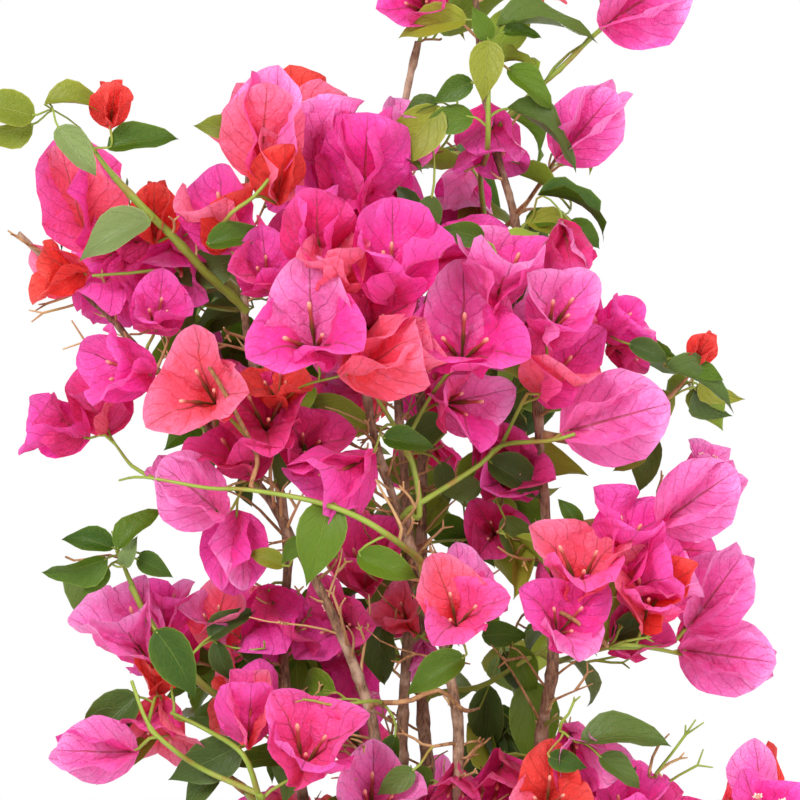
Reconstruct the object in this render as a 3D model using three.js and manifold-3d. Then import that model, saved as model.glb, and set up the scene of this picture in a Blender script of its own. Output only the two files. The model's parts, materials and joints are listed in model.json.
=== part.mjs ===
// A bougainvillea bush in its pot: a plain pot with potting mix, a short flared foot, six stems,
// the boughs that leave them, and a crown of separate masses of bracts and leaves.
// Millimetres, +Z up. The origin is the middle of the pot's flat underside, and the front is -Y.
import * as THREE from 'three';
import { mergeVertices } from 'three/addons/utils/BufferGeometryUtils.js';
import Module from 'manifold-3d';

const wasm = await Module();
wasm.setup();

// Driving dimensions.
const POT_HEIGHT = 150;
const POT_RIM_RADIUS = 90;
const POT_BASE_RADIUS = 65;
const POT_WALL = 3.5;
const RIM_DEPTH = 18;
const RIM_PROUD = 4;
const SOIL_TOP = 136;
const SOIL_DIP = 3;
const FOOT_HEIGHT = 52;
const FOOT_RADIUS = 16;
const FOOT_FLARE = 10;
const STEM_RING = 10.5;
const CROWN_MIDDLE = 480;
const GAP = 0.5;
const LOBE_DEPTH = 0.15;
const ROUGH_BELOW = 24; // a mass no thicker than this across has the coarser facets
const POT_SIDES = 36;
const STEM_SIDES = 7;
const BOUGH_SIDES = 6;

const FOOT_TOP = SOIL_TOP + FOOT_HEIGHT;

// Finishes, by what they cover.
const FINISHES = {
  pot: { color: 0x6f3f2c, roughness: 0.6, metalness: 0 },
  mix: { color: 0x3b2a20, roughness: 1, metalness: 0 },
  bark: { color: 0xa2785a, roughness: 0.85, metalness: 0 },
  shoot: { color: 0x8c9440, roughness: 0.6, metalness: 0 },
  bloom: { color: 0xf0408c, roughness: 0.7, metalness: 0 },
  leaf: { color: 0x5f8527, roughness: 0.6, metalness: 0 },
};

const bush = new THREE.Group();

function addNode(name, geometry, finish) {
  const material = new THREE.MeshStandardMaterial(FINISHES[finish]);
  const mesh = new THREE.Mesh(geometry, material);
  mesh.name = name;
  bush.add(mesh);
}

// A place in the crown: to the right, away from the viewer, and above the crown's middle.
function inCrown(x, y, up) {
  return new THREE.Vector3(x, y, CROWN_MIDDLE + up);
}

// --- Solids -----------------------------------------------------------------------------------

function weld(geometry) {
  geometry.deleteAttribute('normal');
  geometry.deleteAttribute('uv');
  return mergeVertices(geometry, 1e-4);
}

function toSolid(geometry) {
  return new wasm.Manifold(new wasm.Mesh({
    numProp: 3,
    vertProperties: new Float32Array(geometry.attributes.position.array),
    triVerts: new Uint32Array(geometry.index.array),
  }));
}

function toGeometry(solid) {
  const { vertProperties, triVerts } = solid.getMesh();
  const geometry = new THREE.BufferGeometry();
  geometry.setAttribute('position', new THREE.BufferAttribute(vertProperties, 3));
  geometry.setIndex(new THREE.BufferAttribute(triVerts, 1));
  geometry.computeVertexNormals();
  return geometry;
}

function overlaps(a, b) {
  const boxA = a.boundingBox();
  const boxB = b.boundingBox();
  return [0, 1, 2].every((k) => boxA.min[k] < boxB.max[k] && boxB.min[k] < boxA.max[k]);
}

function largestBody(solid) {
  const bodies = solid.simplify(GAP / 5).decompose();
  return bodies.sort((a, b) => b.volume() - a.volume())[0];
}

function cutBy(solid, cutters) {
  const rest = cutters
    .filter((cutter) => overlaps(solid, cutter))
    .reduce((left, cutter) => left.subtract(cutter), solid);
  return largestBody(rest);
}

// --- Pot and potting mix ----------------------------------------------------------------------

function turned(profile) {
  return new THREE.LatheGeometry(profile.map(([r, z]) => new THREE.Vector2(r, z)), POT_SIDES)
    .rotateX(Math.PI / 2);
}

// The pot's outer radius at a height, below the rim band.
function potRadius(z) {
  return THREE.MathUtils.lerp(POT_BASE_RADIUS, POT_RIM_RADIUS - RIM_PROUD, z / POT_HEIGHT);
}

function potProfile() {
  const rimFoot = POT_HEIGHT - RIM_DEPTH;
  return [
    [0, 0],
    [POT_BASE_RADIUS, 0],
    [potRadius(rimFoot), rimFoot],
    [POT_RIM_RADIUS - 1, rimFoot],
    [POT_RIM_RADIUS, POT_HEIGHT],
    [potRadius(POT_HEIGHT) - POT_WALL, POT_HEIGHT],
    [potRadius(POT_WALL) - POT_WALL, POT_WALL],
    [0, POT_WALL],
  ];
}

// The mix fills the pot, dips a little towards the wall and is flat round the foot.
function mixProfile() {
  const floor = POT_WALL + GAP;
  const side = SOIL_TOP - SOIL_DIP;
  return [
    [0, floor],
    [potRadius(floor) - POT_WALL - GAP, floor],
    [potRadius(side) - POT_WALL - GAP, side],
    [POT_BASE_RADIUS, SOIL_TOP],
    [0, SOIL_TOP],
  ];
}

// --- Limbs ------------------------------------------------------------------------------------

// A round tapering tube along a smooth route, grown by a little when it serves as a cutter. One
// that is slim below 1 loses most of its girth low down.
function limb(shape, grow = 0) {
  const { route, base, tip, sides = STEM_SIDES, steps = 10, flare = 0, slim = 1 } = shape;
  const curve = new THREE.CatmullRomCurve3(route, false, 'centripetal');
  const frames = curve.computeFrenetFrames(steps);
  const tube = weld(new THREE.CylinderGeometry(1, 1, 1, sides, steps));
  const places = tube.attributes.position;
  const local = new THREE.Vector3();
  for (let i = 0; i < places.count; i += 1) {
    local.fromBufferAttribute(places, i);
    const step = Math.round((local.y + 0.5) * steps);
    const along = step / steps;
    const radius = THREE.MathUtils.lerp(base, tip, along ** slim)
      + flare * Math.exp(-6 * along) + grow;
    const past = (step === steps) - (step === 0);
    const place = curve.getPointAt(along)
      .addScaledVector(frames.binormals[step], local.x * radius)
      .addScaledVector(frames.normals[step], local.z * radius)
      .addScaledVector(frames.tangents[step], past * grow);
    places.setXYZ(i, place.x, place.y, place.z);
  }
  return toSolid(tube);
}

// Where a stem stands on the foot, starting a little inside it so that the foot trims it.
function onFoot(turn) {
  const angle = THREE.MathUtils.degToRad(turn);
  return new THREE.Vector3(
    STEM_RING * Math.cos(angle),
    STEM_RING * Math.sin(angle),
    FOOT_TOP - 2,
  );
}

// The foot leans a little and starts inside the mix, where the flat cut at its surface trims it.
const FOOT = {
  route: [
    new THREE.Vector3(-4, 1, SOIL_TOP - 6),
    new THREE.Vector3(-1, 0, SOIL_TOP + FOOT_HEIGHT / 2),
    new THREE.Vector3(0, 0, FOOT_TOP),
  ],
  base: FOOT_RADIUS,
  tip: FOOT_RADIUS,
  steps: 8,
  flare: FOOT_FLARE,
};

function foot(grow = 0) {
  return limb(FOOT, grow).trimByPlane([0, 0, 1], SOIL_TOP + GAP);
}

// Each stem stands on the foot at a turn round it and runs up through the crown, whole.
const STEMS = {
  stem_left: {
    route: [onFoot(180), inCrown(-32, 4, -210), inCrown(-49, 6, -112), inCrown(-47, 8, -58),
      inCrown(-56, 4, -8), inCrown(-66, -4, 40), inCrown(-62, -8, 96)],
    base: 3.5, tip: 1.5, slim: 0.55, steps: 12,
  },
  stem_centre: {
    route: [onFoot(240), inCrown(-6, -14, -215), inCrown(-9, -18, -149), inCrown(-17, -18, -112),
      inCrown(-35, -16, -74), inCrown(-50, -14, -46), inCrown(-92, -12, 3),
      inCrown(-130, -14, 45), inCrown(-158, -16, 70)],
    base: 4.0, tip: 1.2, slim: 0.55, steps: 16,
  },
  stem_middle: {
    route: [onFoot(120), inCrown(2, 12, -220), inCrown(1, 14, -149), inCrown(4, 14, -71),
      inCrown(-2, 12, 20), inCrown(-4, 8, 92), inCrown(8, 4, 150)],
    base: 3.7, tip: 1.5, slim: 0.55, steps: 9,
  },
  stem_front: {
    route: [onFoot(300), inCrown(18, -22, -210), inCrown(25, -26, -149), inCrown(20, -28, -108),
      inCrown(7, -28, -64), inCrown(-4, -24, -40), inCrown(-18, -18, 20), inCrown(-26, -20, 66)],
    base: 3.7, tip: 1.5, slim: 0.55, steps: 12,
  },
  stem_right: {
    route: [onFoot(0), inCrown(38, 2, -210), inCrown(63, 4, -128), inCrown(63, 2, -90),
      inCrown(60, 0, -40), inCrown(55, 0, 20), inCrown(48, 0, 76), inCrown(38, 0, 108),
      inCrown(31, 0, 168), inCrown(28, 0, 226)],
    base: 4.3, tip: 1.2, slim: 0.55, steps: 14,
  },
  stem_back: {
    route: [onFoot(60), inCrown(14, 34, -200), inCrown(8, 56, -110), inCrown(10, 62, -20),
      inCrown(4, 56, 60), inCrown(2, 52, 118)],
    base: 4.2, tip: 1.8, slim: 0.55, steps: 9,
  },
};

// Each bough leaves a stem and ends where it enters its mass.
const BOUGHS = {
  bough_upper_left: {
    from: 'stem_left', into: 'upper_left_tip', finish: 'shoot',
    route: [inCrown(-66, -4, 38), inCrown(-88, -24, 62), inCrown(-118, -36, 94),
      inCrown(-134, -38, 112)],
    base: 2.4, tip: 1.6,
  },
  bough_left: {
    from: 'stem_left', into: 'left_leaf_spray', finish: 'shoot',
    route: [inCrown(-44, 6, -140), inCrown(-74, -12, -124), inCrown(-99, -22, -98),
      inCrown(-116, -20, -64)],
    base: 2.2, tip: 1.4,
  },
  bough_low_left: {
    from: 'stem_left', into: 'lower_left_blooms', finish: 'bark',
    route: [inCrown(-37, 4, -190), inCrown(-62, -4, -164), inCrown(-86, -14, -148),
      inCrown(-106, -18, -138)],
    base: 2.6, tip: 1.8,
  },
  bough_low_right: {
    from: 'stem_right', into: 'lower_right_outer_bloom', finish: 'bark',
    route: [inCrown(43, 2, -192), inCrown(76, 2, -202), inCrown(114, -4, -192),
      inCrown(139, -8, -172)],
    base: 2.4, tip: 1.6,
  },
  bough_mid_right: {
    from: 'stem_right', into: 'right_outer_blooms', finish: 'bark',
    route: [inCrown(63, 2, -92), inCrown(88, 6, -84), inCrown(114, 2, -86),
      inCrown(135, -6, -92)],
    base: 2.4, tip: 1.6,
  },
  bough_shoulder: {
    from: 'stem_right', into: 'right_leaf_spray', finish: 'bark',
    route: [inCrown(58, 0, -14), inCrown(82, 6, -18), inCrown(106, 0, -4),
      inCrown(122, -8, 16)],
    base: 2.4, tip: 1.6,
  },
  bough_top_right: {
    from: 'stem_right', into: 'top_right_bloom', finish: 'shoot',
    route: [inCrown(38, 0, 110), inCrown(66, -2, 138), inCrown(86, -4, 156),
      inCrown(100, -4, 166)],
    base: 2.2, tip: 1.5,
  },
  bough_outer_right: {
    from: 'stem_right', into: 'right_outer_upper_bloom', finish: 'bark',
    route: [inCrown(60, 0, -54), inCrown(84, 8, -52), inCrown(108, 4, -44),
      inCrown(130, -6, -35)],
    base: 2.2, tip: 1.5,
  },
};

// --- Masses of bracts and leaves --------------------------------------------------------------

// An unevenly lobed, closed ball, grown by a little when it serves as a cutter.
function mass({ centre, radii, detail, seed }, grow = 0) {
  const ball = weld(new THREE.IcosahedronGeometry(1, detail));
  const places = ball.attributes.position;
  const d = new THREE.Vector3();
  for (let i = 0; i < places.count; i += 1) {
    d.fromBufferAttribute(places, i);
    const broad = Math.sin(3.1 * d.x + 2.3 * d.z + seed) * Math.cos(2.7 * d.y - 1.7 * seed);
    const fine = Math.sin(5.3 * d.z - 4.1 * d.x + 3.7 * d.y + 2 * seed);
    const reach = 1 + LOBE_DEPTH * (0.65 * broad + 0.35 * fine);
    d.multiply(radii.clone().multiplyScalar(reach).addScalar(grow)).add(centre);
    places.setXYZ(i, d.x, d.y, d.z);
  }
  return toSolid(ball);
}

// Name, finish, place in the crown and half sizes along X, Y and Z.
const CROWN = [
  ['crown_tip', 'leaf', [28, 0, 205], [26, 24, 44]],
  ['top_right_bloom', 'bloom', [100, -4, 166], [20, 15, 18]],
  ['top_leaves', 'leaf', [20, -4, 134], [34, 24, 36]],
  ['upper_right_bloom', 'bloom', [79, -2, 116], [22, 15, 22]],
  ['upper_right_leaves', 'leaf', [76, 4, 76], [27, 21, 18]],
  ['upper_left_tip', 'leaf', [-136, -36, 112], [40, 20, 19]],
  ['upper_left_blooms', 'bloom', [-120, -8, 70], [38, 26, 30]],
  ['upper_inner_left_blooms', 'bloom', [-58, -24, 92], [34, 26, 40]],
  ['front_centre_blooms', 'bloom', [-30, -58, 34], [32, 24, 30]],
  ['upper_centre_blooms', 'bloom', [-6, -12, 80], [28, 26, 38]],
  ['front_left_blooms', 'bloom', [-80, -42, -8], [30, 24, 42]],
  ['front_right_blooms', 'bloom', [40, -46, 38], [33, 25, 31]],
  ['right_shoulder_blooms', 'bloom', [80, -26, 6], [36, 24, 28]],
  ['right_leaf_spray', 'leaf', [124, -8, 14], [26, 18, 18]],
  ['left_blooms', 'bloom', [-128, 0, 4], [32, 22, 34]],
  ['centre_blooms', 'bloom', [-22, -44, -40], [28, 20, 34]],
  ['core_right', 'leaf', [42, 6, -30], [34, 24, 34]],
  ['right_outer_upper_bloom', 'bloom', [130, -6, -35], [20, 14, 20]],
  ['right_mid_blooms', 'bloom', [86, -30, -72], [38, 24, 32]],
  ['right_outer_blooms', 'bloom', [137, -6, -92], [21, 15, 33]],
  ['left_leaf_spray', 'leaf', [-123, -18, -60], [30, 21, 18]],
  ['left_lower_blooms', 'bloom', [-112, -14, -98], [29, 23, 22]],
  ['inner_left_blooms', 'bloom', [-68, -2, -88], [20, 20, 32]],
  ['centre_low_bloom', 'bloom', [26, -46, -82], [22, 18, 20]],
  ['core_left', 'leaf', [-8, 10, -86], [30, 24, 34]],
  ['lower_left_blooms', 'bloom', [-108, -18, -142], [36, 22, 22]],
  ['lower_centre_left_blooms', 'bloom', [-44, -34, -138], [28, 22, 27]],
  ['lower_right_blooms', 'bloom', [76, -26, -156], [36, 25, 40]],
  ['lower_centre_blooms', 'bloom', [14, -24, -160], [32, 26, 24]],
  ['lower_right_outer_bloom', 'bloom', [142, -8, -168], [24, 17, 19]],
];

// The far side of the crown: three tiers of masses on an arc behind the stems, and one between.
const BACK_TIERS = [
  { level: 'high', up: 104, reach: 70, turns: [58, 122], size: [42, 32, 38] },
  { level: 'middle', up: 18, reach: 92, turns: [48, 90, 132], size: [44, 32, 38] },
  { level: 'low', up: -118, reach: 88, turns: [48, 90, 132], size: [42, 32, 40] },
];

// The skirt hangs round the stems below the crown, open towards the foot.
const SKIRT = { drop: 210, reach: 66, turns: [222, 318, 52, 128], size: [46, 36, 36] };

function onArc(turn, reach, up) {
  const angle = THREE.MathUtils.degToRad(turn);
  return [reach * Math.cos(angle), reach * Math.sin(angle), up];
}

function farMasses() {
  const back = BACK_TIERS.flatMap(({ level, up, reach, turns, size }) => turns.map((turn, k) => (
    [`back_${level}_${k + 1}`, k === 1 ? 'bloom' : 'leaf', onArc(turn, reach, up), size]
  )));
  const skirt = SKIRT.turns.map((turn, k) => (
    [`skirt_${k + 1}`, k % 2 ? 'bloom' : 'leaf', onArc(turn, SKIRT.reach, -SKIRT.drop), SKIRT.size]
  ));
  return [...back, ['back_core', 'leaf', [10, 84, -52], [36, 28, 32]], ...skirt];
}

function describeMasses(rows, detail) {
  return rows.map(([name, finish, place, size], index) => ({
    name,
    finish,
    centre: inCrown(...place),
    radii: new THREE.Vector3(...size),
    detail: Math.min(...size) > ROUGH_BELOW ? detail : 1,
    seed: detail + 0.9 * index,
  }));
}

// How far a mass reaches from its centre along a direction, lobes apart.
function reachAlong({ radii }, direction) {
  return radii.clone().multiply(direction).length();
}

// Two masses that meet are parted by a plane between them, where they reach equally far.
function trimFrom(solid, one, other) {
  const apart = one.centre.clone().sub(other.centre);
  const distance = apart.length();
  const normal = apart.normalize();
  const share = reachAlong(other, normal) / (reachAlong(one, normal) + reachAlong(other, normal));
  const place = other.centre.dot(normal) + distance * share + GAP / 2;
  return solid.trimByPlane(normal.toArray(), place);
}

function meets(one, other) {
  return overlaps(one, other) && !one.intersect(other).isEmpty();
}

// --- Assembly ---------------------------------------------------------------------------------

addNode('pot', turned(potProfile()), 'pot');
addNode('potting_mix', turned(mixProfile()), 'mix');
addNode('foot', toGeometry(foot()), 'bark');

const masses = [...describeMasses(CROWN, 2), ...describeMasses(farMasses(), 1)];
const grownMasses = masses.map((one) => mass(one, GAP));
const limbCutters = [];

for (const [name, stem] of Object.entries(STEMS)) {
  addNode(name, toGeometry(cutBy(limb(stem), [foot(GAP)])), 'bark');
  limbCutters.push(limb(stem, GAP));
}
for (const [name, bough] of Object.entries(BOUGHS)) {
  const shape = { ...bough, sides: BOUGH_SIDES, steps: 7 };
  const parent = limb(STEMS[bough.from], GAP);
  const target = grownMasses[masses.findIndex((one) => one.name === bough.into)];
  addNode(name, toGeometry(cutBy(limb(shape), [parent, target])), bough.finish);
  limbCutters.push(limb(shape, GAP).subtract(target));
}
masses.forEach((one, index) => {
  const parted = masses
    .filter((other, k) => k !== index && meets(grownMasses[index], grownMasses[k]))
    .reduce((solid, other) => trimFrom(solid, one, other), mass(one));
  addNode(one.name, toGeometry(cutBy(parted, limbCutters)), one.finish);
});

export default bush;
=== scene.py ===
"""A bougainvillea bush in its pot: bark over the CAD stems and boughs, and twigs, leaves and
three-bract flowers that grow on from them through the CAD masses.  Metres, +Z up, front -Y."""
import json
import math
import random
from collections import namedtuple

import bmesh
import bpy
import numpy as np
from mathutils import Matrix, Vector, noise


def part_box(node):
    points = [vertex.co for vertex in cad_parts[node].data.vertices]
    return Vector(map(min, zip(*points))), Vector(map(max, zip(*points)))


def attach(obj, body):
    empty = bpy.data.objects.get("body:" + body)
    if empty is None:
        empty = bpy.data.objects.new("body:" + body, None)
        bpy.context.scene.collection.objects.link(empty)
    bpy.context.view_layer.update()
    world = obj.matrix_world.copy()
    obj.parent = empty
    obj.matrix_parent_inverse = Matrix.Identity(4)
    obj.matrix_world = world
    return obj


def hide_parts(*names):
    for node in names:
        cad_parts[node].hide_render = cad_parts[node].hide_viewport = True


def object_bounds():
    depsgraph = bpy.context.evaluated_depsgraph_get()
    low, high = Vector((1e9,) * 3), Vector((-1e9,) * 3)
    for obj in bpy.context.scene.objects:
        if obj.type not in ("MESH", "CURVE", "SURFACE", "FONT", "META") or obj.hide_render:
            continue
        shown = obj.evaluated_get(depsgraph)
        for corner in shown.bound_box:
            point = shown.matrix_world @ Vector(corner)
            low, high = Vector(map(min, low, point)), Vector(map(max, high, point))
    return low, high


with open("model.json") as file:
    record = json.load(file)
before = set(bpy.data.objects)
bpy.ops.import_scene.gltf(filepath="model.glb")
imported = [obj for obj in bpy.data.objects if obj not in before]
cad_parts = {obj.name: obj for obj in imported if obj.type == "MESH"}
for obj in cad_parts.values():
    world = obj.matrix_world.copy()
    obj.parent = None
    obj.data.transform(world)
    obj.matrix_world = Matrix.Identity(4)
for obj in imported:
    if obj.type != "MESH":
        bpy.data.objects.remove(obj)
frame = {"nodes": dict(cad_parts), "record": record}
CAD_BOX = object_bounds()

MM = 0.001
UP = Vector((0, 0, 1))
CROWN_MIDDLE = Vector((0, 0, 0.480))
VIEW_WIDTH = 1 / 3          # what the camera takes in, across the crown's middle
LENS = 200
SENSOR = 36
CAMERA_LIFT = 2.0           # degrees that the camera looks down
FLOOR_RADIUS = 2.1
BRACT_LENGTH = 37 * MM
BRACT_WIDTH = 33 * MM
LEAF_LENGTH = 36 * MM
LEAF_WIDTH = 22 * MM
TUBE_LENGTH = 17 * MM
BLADE_COLUMNS = 12
BLADE_ROWS = 14
LEAF_COLUMNS = 6
LEAF_ROWS = 10
CELLS = (4, 2)              # the leaf and bract maps hold this many shades of one blade
MARGIN = 9 * MM             # how far the looks may stand proud of the CAD box
WOOD_ROOM = 40000           # the most points that the twigs may have
STEM_SPREAD = 30 * MM       # how far to each side the stems stand in the crown's middle
STEM_FRONT = -33 * MM       # the front of the stems there
OUTLINE_REACH = 165 * MM    # blooms and leaves are named this far above and below the middle
FILL_DEPTH = 0.72           # where the fill of a mass stands, as a share of its reach
BLOOM_AREA = 1300 * MM * MM     # a mass's surface to each of its flowers
SPRAY_AREA = 1500 * MM * MM     # and to each of its sprays of leaves
INNER_TRIES = 1100          # places tried between the front and the back masses
INNER_BLOOMS = 75
INNER_SPRAYS = 60
INNER_HEIGHTS = (0.29, 0.66)
SPUR_HEIGHT = 0.3           # where the thorns and stubs on the stems begin
CLUTTER_HEIGHTS = (-190, 40)    # and bare side twigs begin and end, mm from the crown's middle
BARK_CHIPS = 260

rng = random.Random(7)
noise.seed_set(7)           # otherwise the bark's sway is another one in every run


# --- Which nodes are what ---------------------------------------------------------------------

def nodes_of(slot):
    return [s["node"] for s in frame["record"]["subparts"] if s["material_slot"] == slot]


SHOOTS = nodes_of("green_shoot")
LIMBS = nodes_of("bark") + SHOOTS
STEMS = [n for n in LIMBS if n.startswith("stem")]
BOUGHS = [n for n in LIMBS if n.startswith("bough")]
BLOOM_MASSES = nodes_of("bract")
LEAF_MASSES = nodes_of("leaf")


def middle_and_half(node):
    low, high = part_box(node)
    return (low + high) / 2, (high - low) / 2


# --- Small helpers ----------------------------------------------------------------------------

def heading(turn, lift):
    """A direction: turn 0 faces the front, positive turns to the right, lift rises from level."""
    turn, lift = math.radians(turn), math.radians(lift)
    return Vector((math.sin(turn) * math.cos(lift), -math.cos(turn) * math.cos(lift),
                   math.sin(lift)))


def any_way(spread=1.0):
    """A random vector, even in all directions."""
    while True:
        found = Vector((rng.uniform(-1, 1), rng.uniform(-1, 1), rng.uniform(-1, 1)))
        if 0.05 < found.length < 1:
            return found.normalized() * spread


def across(direction, roll):
    """A unit vector square to direction, rolled round it from straight up."""
    start = UP if abs(direction.z) < 0.97 else Vector((0, 1, 0))
    start = (start - direction * start.dot(direction)).normalized()
    return Matrix.Rotation(math.radians(roll), 3, direction) @ start


def basis(place, x_axis, z_axis, scale):
    """A placing matrix with these X and Z axes, square to each other."""
    z_axis = z_axis.normalized()
    x_axis = (x_axis - z_axis * x_axis.dot(z_axis)).normalized()
    turn = Matrix((x_axis, z_axis.cross(x_axis), z_axis)).transposed().to_4x4()
    return Matrix.Translation(place) @ turn @ Matrix.Diagonal(scale).to_4x4()


def even(size):
    return Vector((size, size, size))


def link(ob):
    bpy.context.scene.collection.objects.link(ob)


def show(ob, slot, *nodes):
    """Puts a finished piece on the plant's body, standing for CAD nodes."""
    link(ob)
    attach(ob, "root")
    if nodes:
        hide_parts(*nodes)


def from_bmesh(name, bm, material):
    mesh = bpy.data.meshes.new(name)
    bm.to_mesh(mesh)
    bm.free()
    mesh.materials.append(material)
    mesh.shade_smooth()
    return bpy.data.objects.new(name, mesh)


def turned(profile, steps):
    """A profile of (radius, height), spun once round the Z axis."""
    bm = bmesh.new()
    verts = [bm.verts.new((radius, 0, height)) for radius, height in profile]
    edges = [bm.edges.new(pair) for pair in zip(verts, verts[1:])]
    bmesh.ops.spin(bm, geom=verts + edges, cent=(0, 0, 0), axis=UP, steps=steps,
                   angle=2 * math.pi, use_merge=True)
    bmesh.ops.remove_doubles(bm, verts=bm.verts, dist=1e-6)
    bmesh.ops.recalc_face_normals(bm, faces=bm.faces)
    return bm


# --- Node sums for the materials --------------------------------------------------------------

class Nodes:
    """A material's node tree, with sums written as calls."""

    def __init__(self, name):
        self.material = bpy.data.materials.new(name)
        self.material.use_nodes = True
        self.tree = self.material.node_tree
        self.tree.nodes.clear()
        self.output = self.tree.nodes.new("ShaderNodeOutputMaterial")

    def add(self, kind, inputs=None, **settings):
        made = self.tree.nodes.new("ShaderNode" + kind)
        for key, value in settings.items():
            setattr(made, key, value)
        for key, value in (inputs or {}).items():
            self.feed(made.inputs[key], value)
        return made

    def feed(self, socket, value):
        if isinstance(value, bpy.types.NodeSocket):
            self.tree.links.new(value, socket)
        elif value is not None:
            socket.default_value = value

    def place(self):
        """Where a point lies on its piece."""
        return self.add("TexCoord").outputs["Object"]

    def on_map(self):
        """Where a point lies across and along the piece's own map."""
        uv = self.add("UVMap", uv_map="OFBake").outputs[0]
        return self.add("SeparateXYZ", {0: uv}).outputs

    def math(self, operation, a, b=0.0):
        return self.add("Math", {0: a, 1: b}, operation=operation).outputs[0]

    def plus(self, a, b):
        return self.math("ADD", a, b)

    def less(self, a, b):
        return self.math("SUBTRACT", a, b)

    def times(self, a, b):
        return self.math("MULTIPLY", a, b)

    def larger(self, a, b):
        return self.math("MAXIMUM", a, b)

    def step(self, value, low, high, to_low=0.0, to_high=1.0):
        """A smooth step from to_low below low to to_high above high."""
        made = self.add("MapRange", {"Value": value, "From Min": low, "From Max": high,
                                     "To Min": to_low, "To Max": to_high},
                        interpolation_type="SMOOTHSTEP")
        return made.outputs[0]

    def mix(self, factor, a, b):
        made = self.add("Mix", data_type="RGBA")
        for index, value in zip((0, 6, 7), (factor, a, b)):
            self.feed(made.inputs[index], value)
        return made.outputs[2]

    def noise(self, vector, scale, detail=3.0, roughness=0.55):
        made = self.add("TexNoise", {"Vector": vector, "Scale": scale, "Detail": detail,
                                     "Roughness": roughness})
        return made.outputs[0]

    def drawn_out(self, scale):
        """Object coordinates, squeezed so that a pattern on them is drawn out."""
        return self.add("Mapping", {"Vector": self.place(), "Scale": scale}).outputs[0]

    def bump(self, height, strength, distance):
        made = self.add("Bump", {"Height": height, "Strength": strength, "Distance": distance})
        return made.outputs[0]

    def finish(self, colour, roughness, gloss, normal=None, glow=0.0, sheen=0.0):
        """The finished material, with glow as the share of light that it lets through."""
        skin = self.add("BsdfPrincipled", {
            "Base Color": colour, "Roughness": roughness, "Specular IOR Level": gloss,
            "Normal": normal, "Sheen Weight": sheen}).outputs[0]
        if glow:
            through = self.add("BsdfTranslucent", {"Color": colour, "Normal": normal}).outputs[0]
            skin = self.add("MixShader", {0: glow, 1: skin, 2: through}).outputs[0]
        self.feed(self.output.inputs[0], skin)
        return self.material


def rgb(red, green, blue):
    """A colour as a screen shows it, 0 to 255, as the linear colour that a shader takes."""
    linear = [(c / 255 / 12.92) if c < 10 else ((c / 255 + 0.055) / 1.055) ** 2.4
              for c in (red, green, blue)]
    return (*linear, 1.0)


# --- Blade materials --------------------------------------------------------------------------

def blade_map(nodes):
    """Across and along one blade, 0 to 1 each, and the shade of its cell, 0 to 1."""
    place, shade = [], []
    for axis, count in zip(nodes.on_map(), CELLS):
        scaled = nodes.times(axis, count)
        place.append(nodes.math("FRACT", scaled))
        shade.append(nodes.math("FLOOR", scaled))
    cell = nodes.plus(shade[0], nodes.times(shade[1], CELLS[0]))
    return place[0], place[1], nodes.math("DIVIDE", cell, CELLS[0] * CELLS[1] - 1)


def veins(nodes, u, v, pairs, lean, net_scale):
    """How far out from the midrib; the rib, its curving side veins and the fine net between
    them, each 0 to 1."""
    side = nodes.times(nodes.math("ABSOLUTE", nodes.less(u, 0.5)), 2.0)
    rib = nodes.step(nodes.plus(side, nodes.times(v, 0.02)), 0.016, 0.046, 1.0, 0.0)
    bow = nodes.times(nodes.math("POWER", side, 1.6), 0.10)
    foot = nodes.less(nodes.less(v, nodes.times(side, lean)), bow)
    stray = nodes.times(nodes.noise(nodes.place(), 95.0, 2.0), 0.16)
    away = nodes.math("PINGPONG", nodes.times(nodes.plus(foot, stray), pairs), 0.5)
    branch = nodes.step(away, 0.012, 0.062, 1.0, 0.0)
    grid = nodes.add("CombineXYZ", {0: nodes.times(u, net_scale * 0.8),
                                    1: nodes.times(v, net_scale)}).outputs[0]
    cells = nodes.add("TexVoronoi", {"Vector": grid, "Scale": 1.0}, feature="DISTANCE_TO_EDGE")
    net = nodes.step(cells.outputs["Distance"], 0.01, 0.11, 1.0, 0.0)
    return side, rib, branch, net


def bract_material(name, heart, body, edge, vein):
    """A papery bract: its colour runs from the heart through the body to the edge."""
    nodes = Nodes(name)
    u, v, shade = blade_map(nodes)
    side, rib, branch, net = veins(nodes, u, v, 6, 0.30, 21.0)
    out = nodes.plus(nodes.times(v, 0.75), nodes.times(side, 0.3))
    colour = nodes.mix(nodes.step(out, 0.05, 0.52), heart, body)
    colour = nodes.mix(nodes.step(out, 0.5, 1.0), colour, edge)
    colour = nodes.mix(nodes.times(shade, 0.45), colour, edge)
    lines = nodes.larger(nodes.times(branch, 0.95), nodes.times(net, 0.3))
    lines = nodes.larger(lines, rib)
    colour = nodes.mix(nodes.times(lines, 0.38), colour, vein)
    colour = nodes.mix(nodes.times(rib, 0.72), colour, rgb(178, 74, 62))
    crinkle = nodes.noise(nodes.place(), 190.0, 3.0, 0.65)
    # Partly the bract's own mottle, partly painted highlight and painted shade: the crinkle that
    # raises the bump lightens its crests towards the edge colour and darkens its hollows towards
    # the heart.
    colour = nodes.mix(nodes.step(crinkle, 0.5, 0.78, 0.0, 0.55), colour, edge)
    colour = nodes.mix(nodes.step(crinkle, 0.48, 0.24, 0.0, 0.5), colour, heart)
    normal = nodes.bump(nodes.less(crinkle, nodes.times(lines, 0.3)), 0.75, 0.0022)
    return nodes.finish(colour, 0.46, 0.3, normal, glow=0.42, sheen=0.12)


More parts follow.
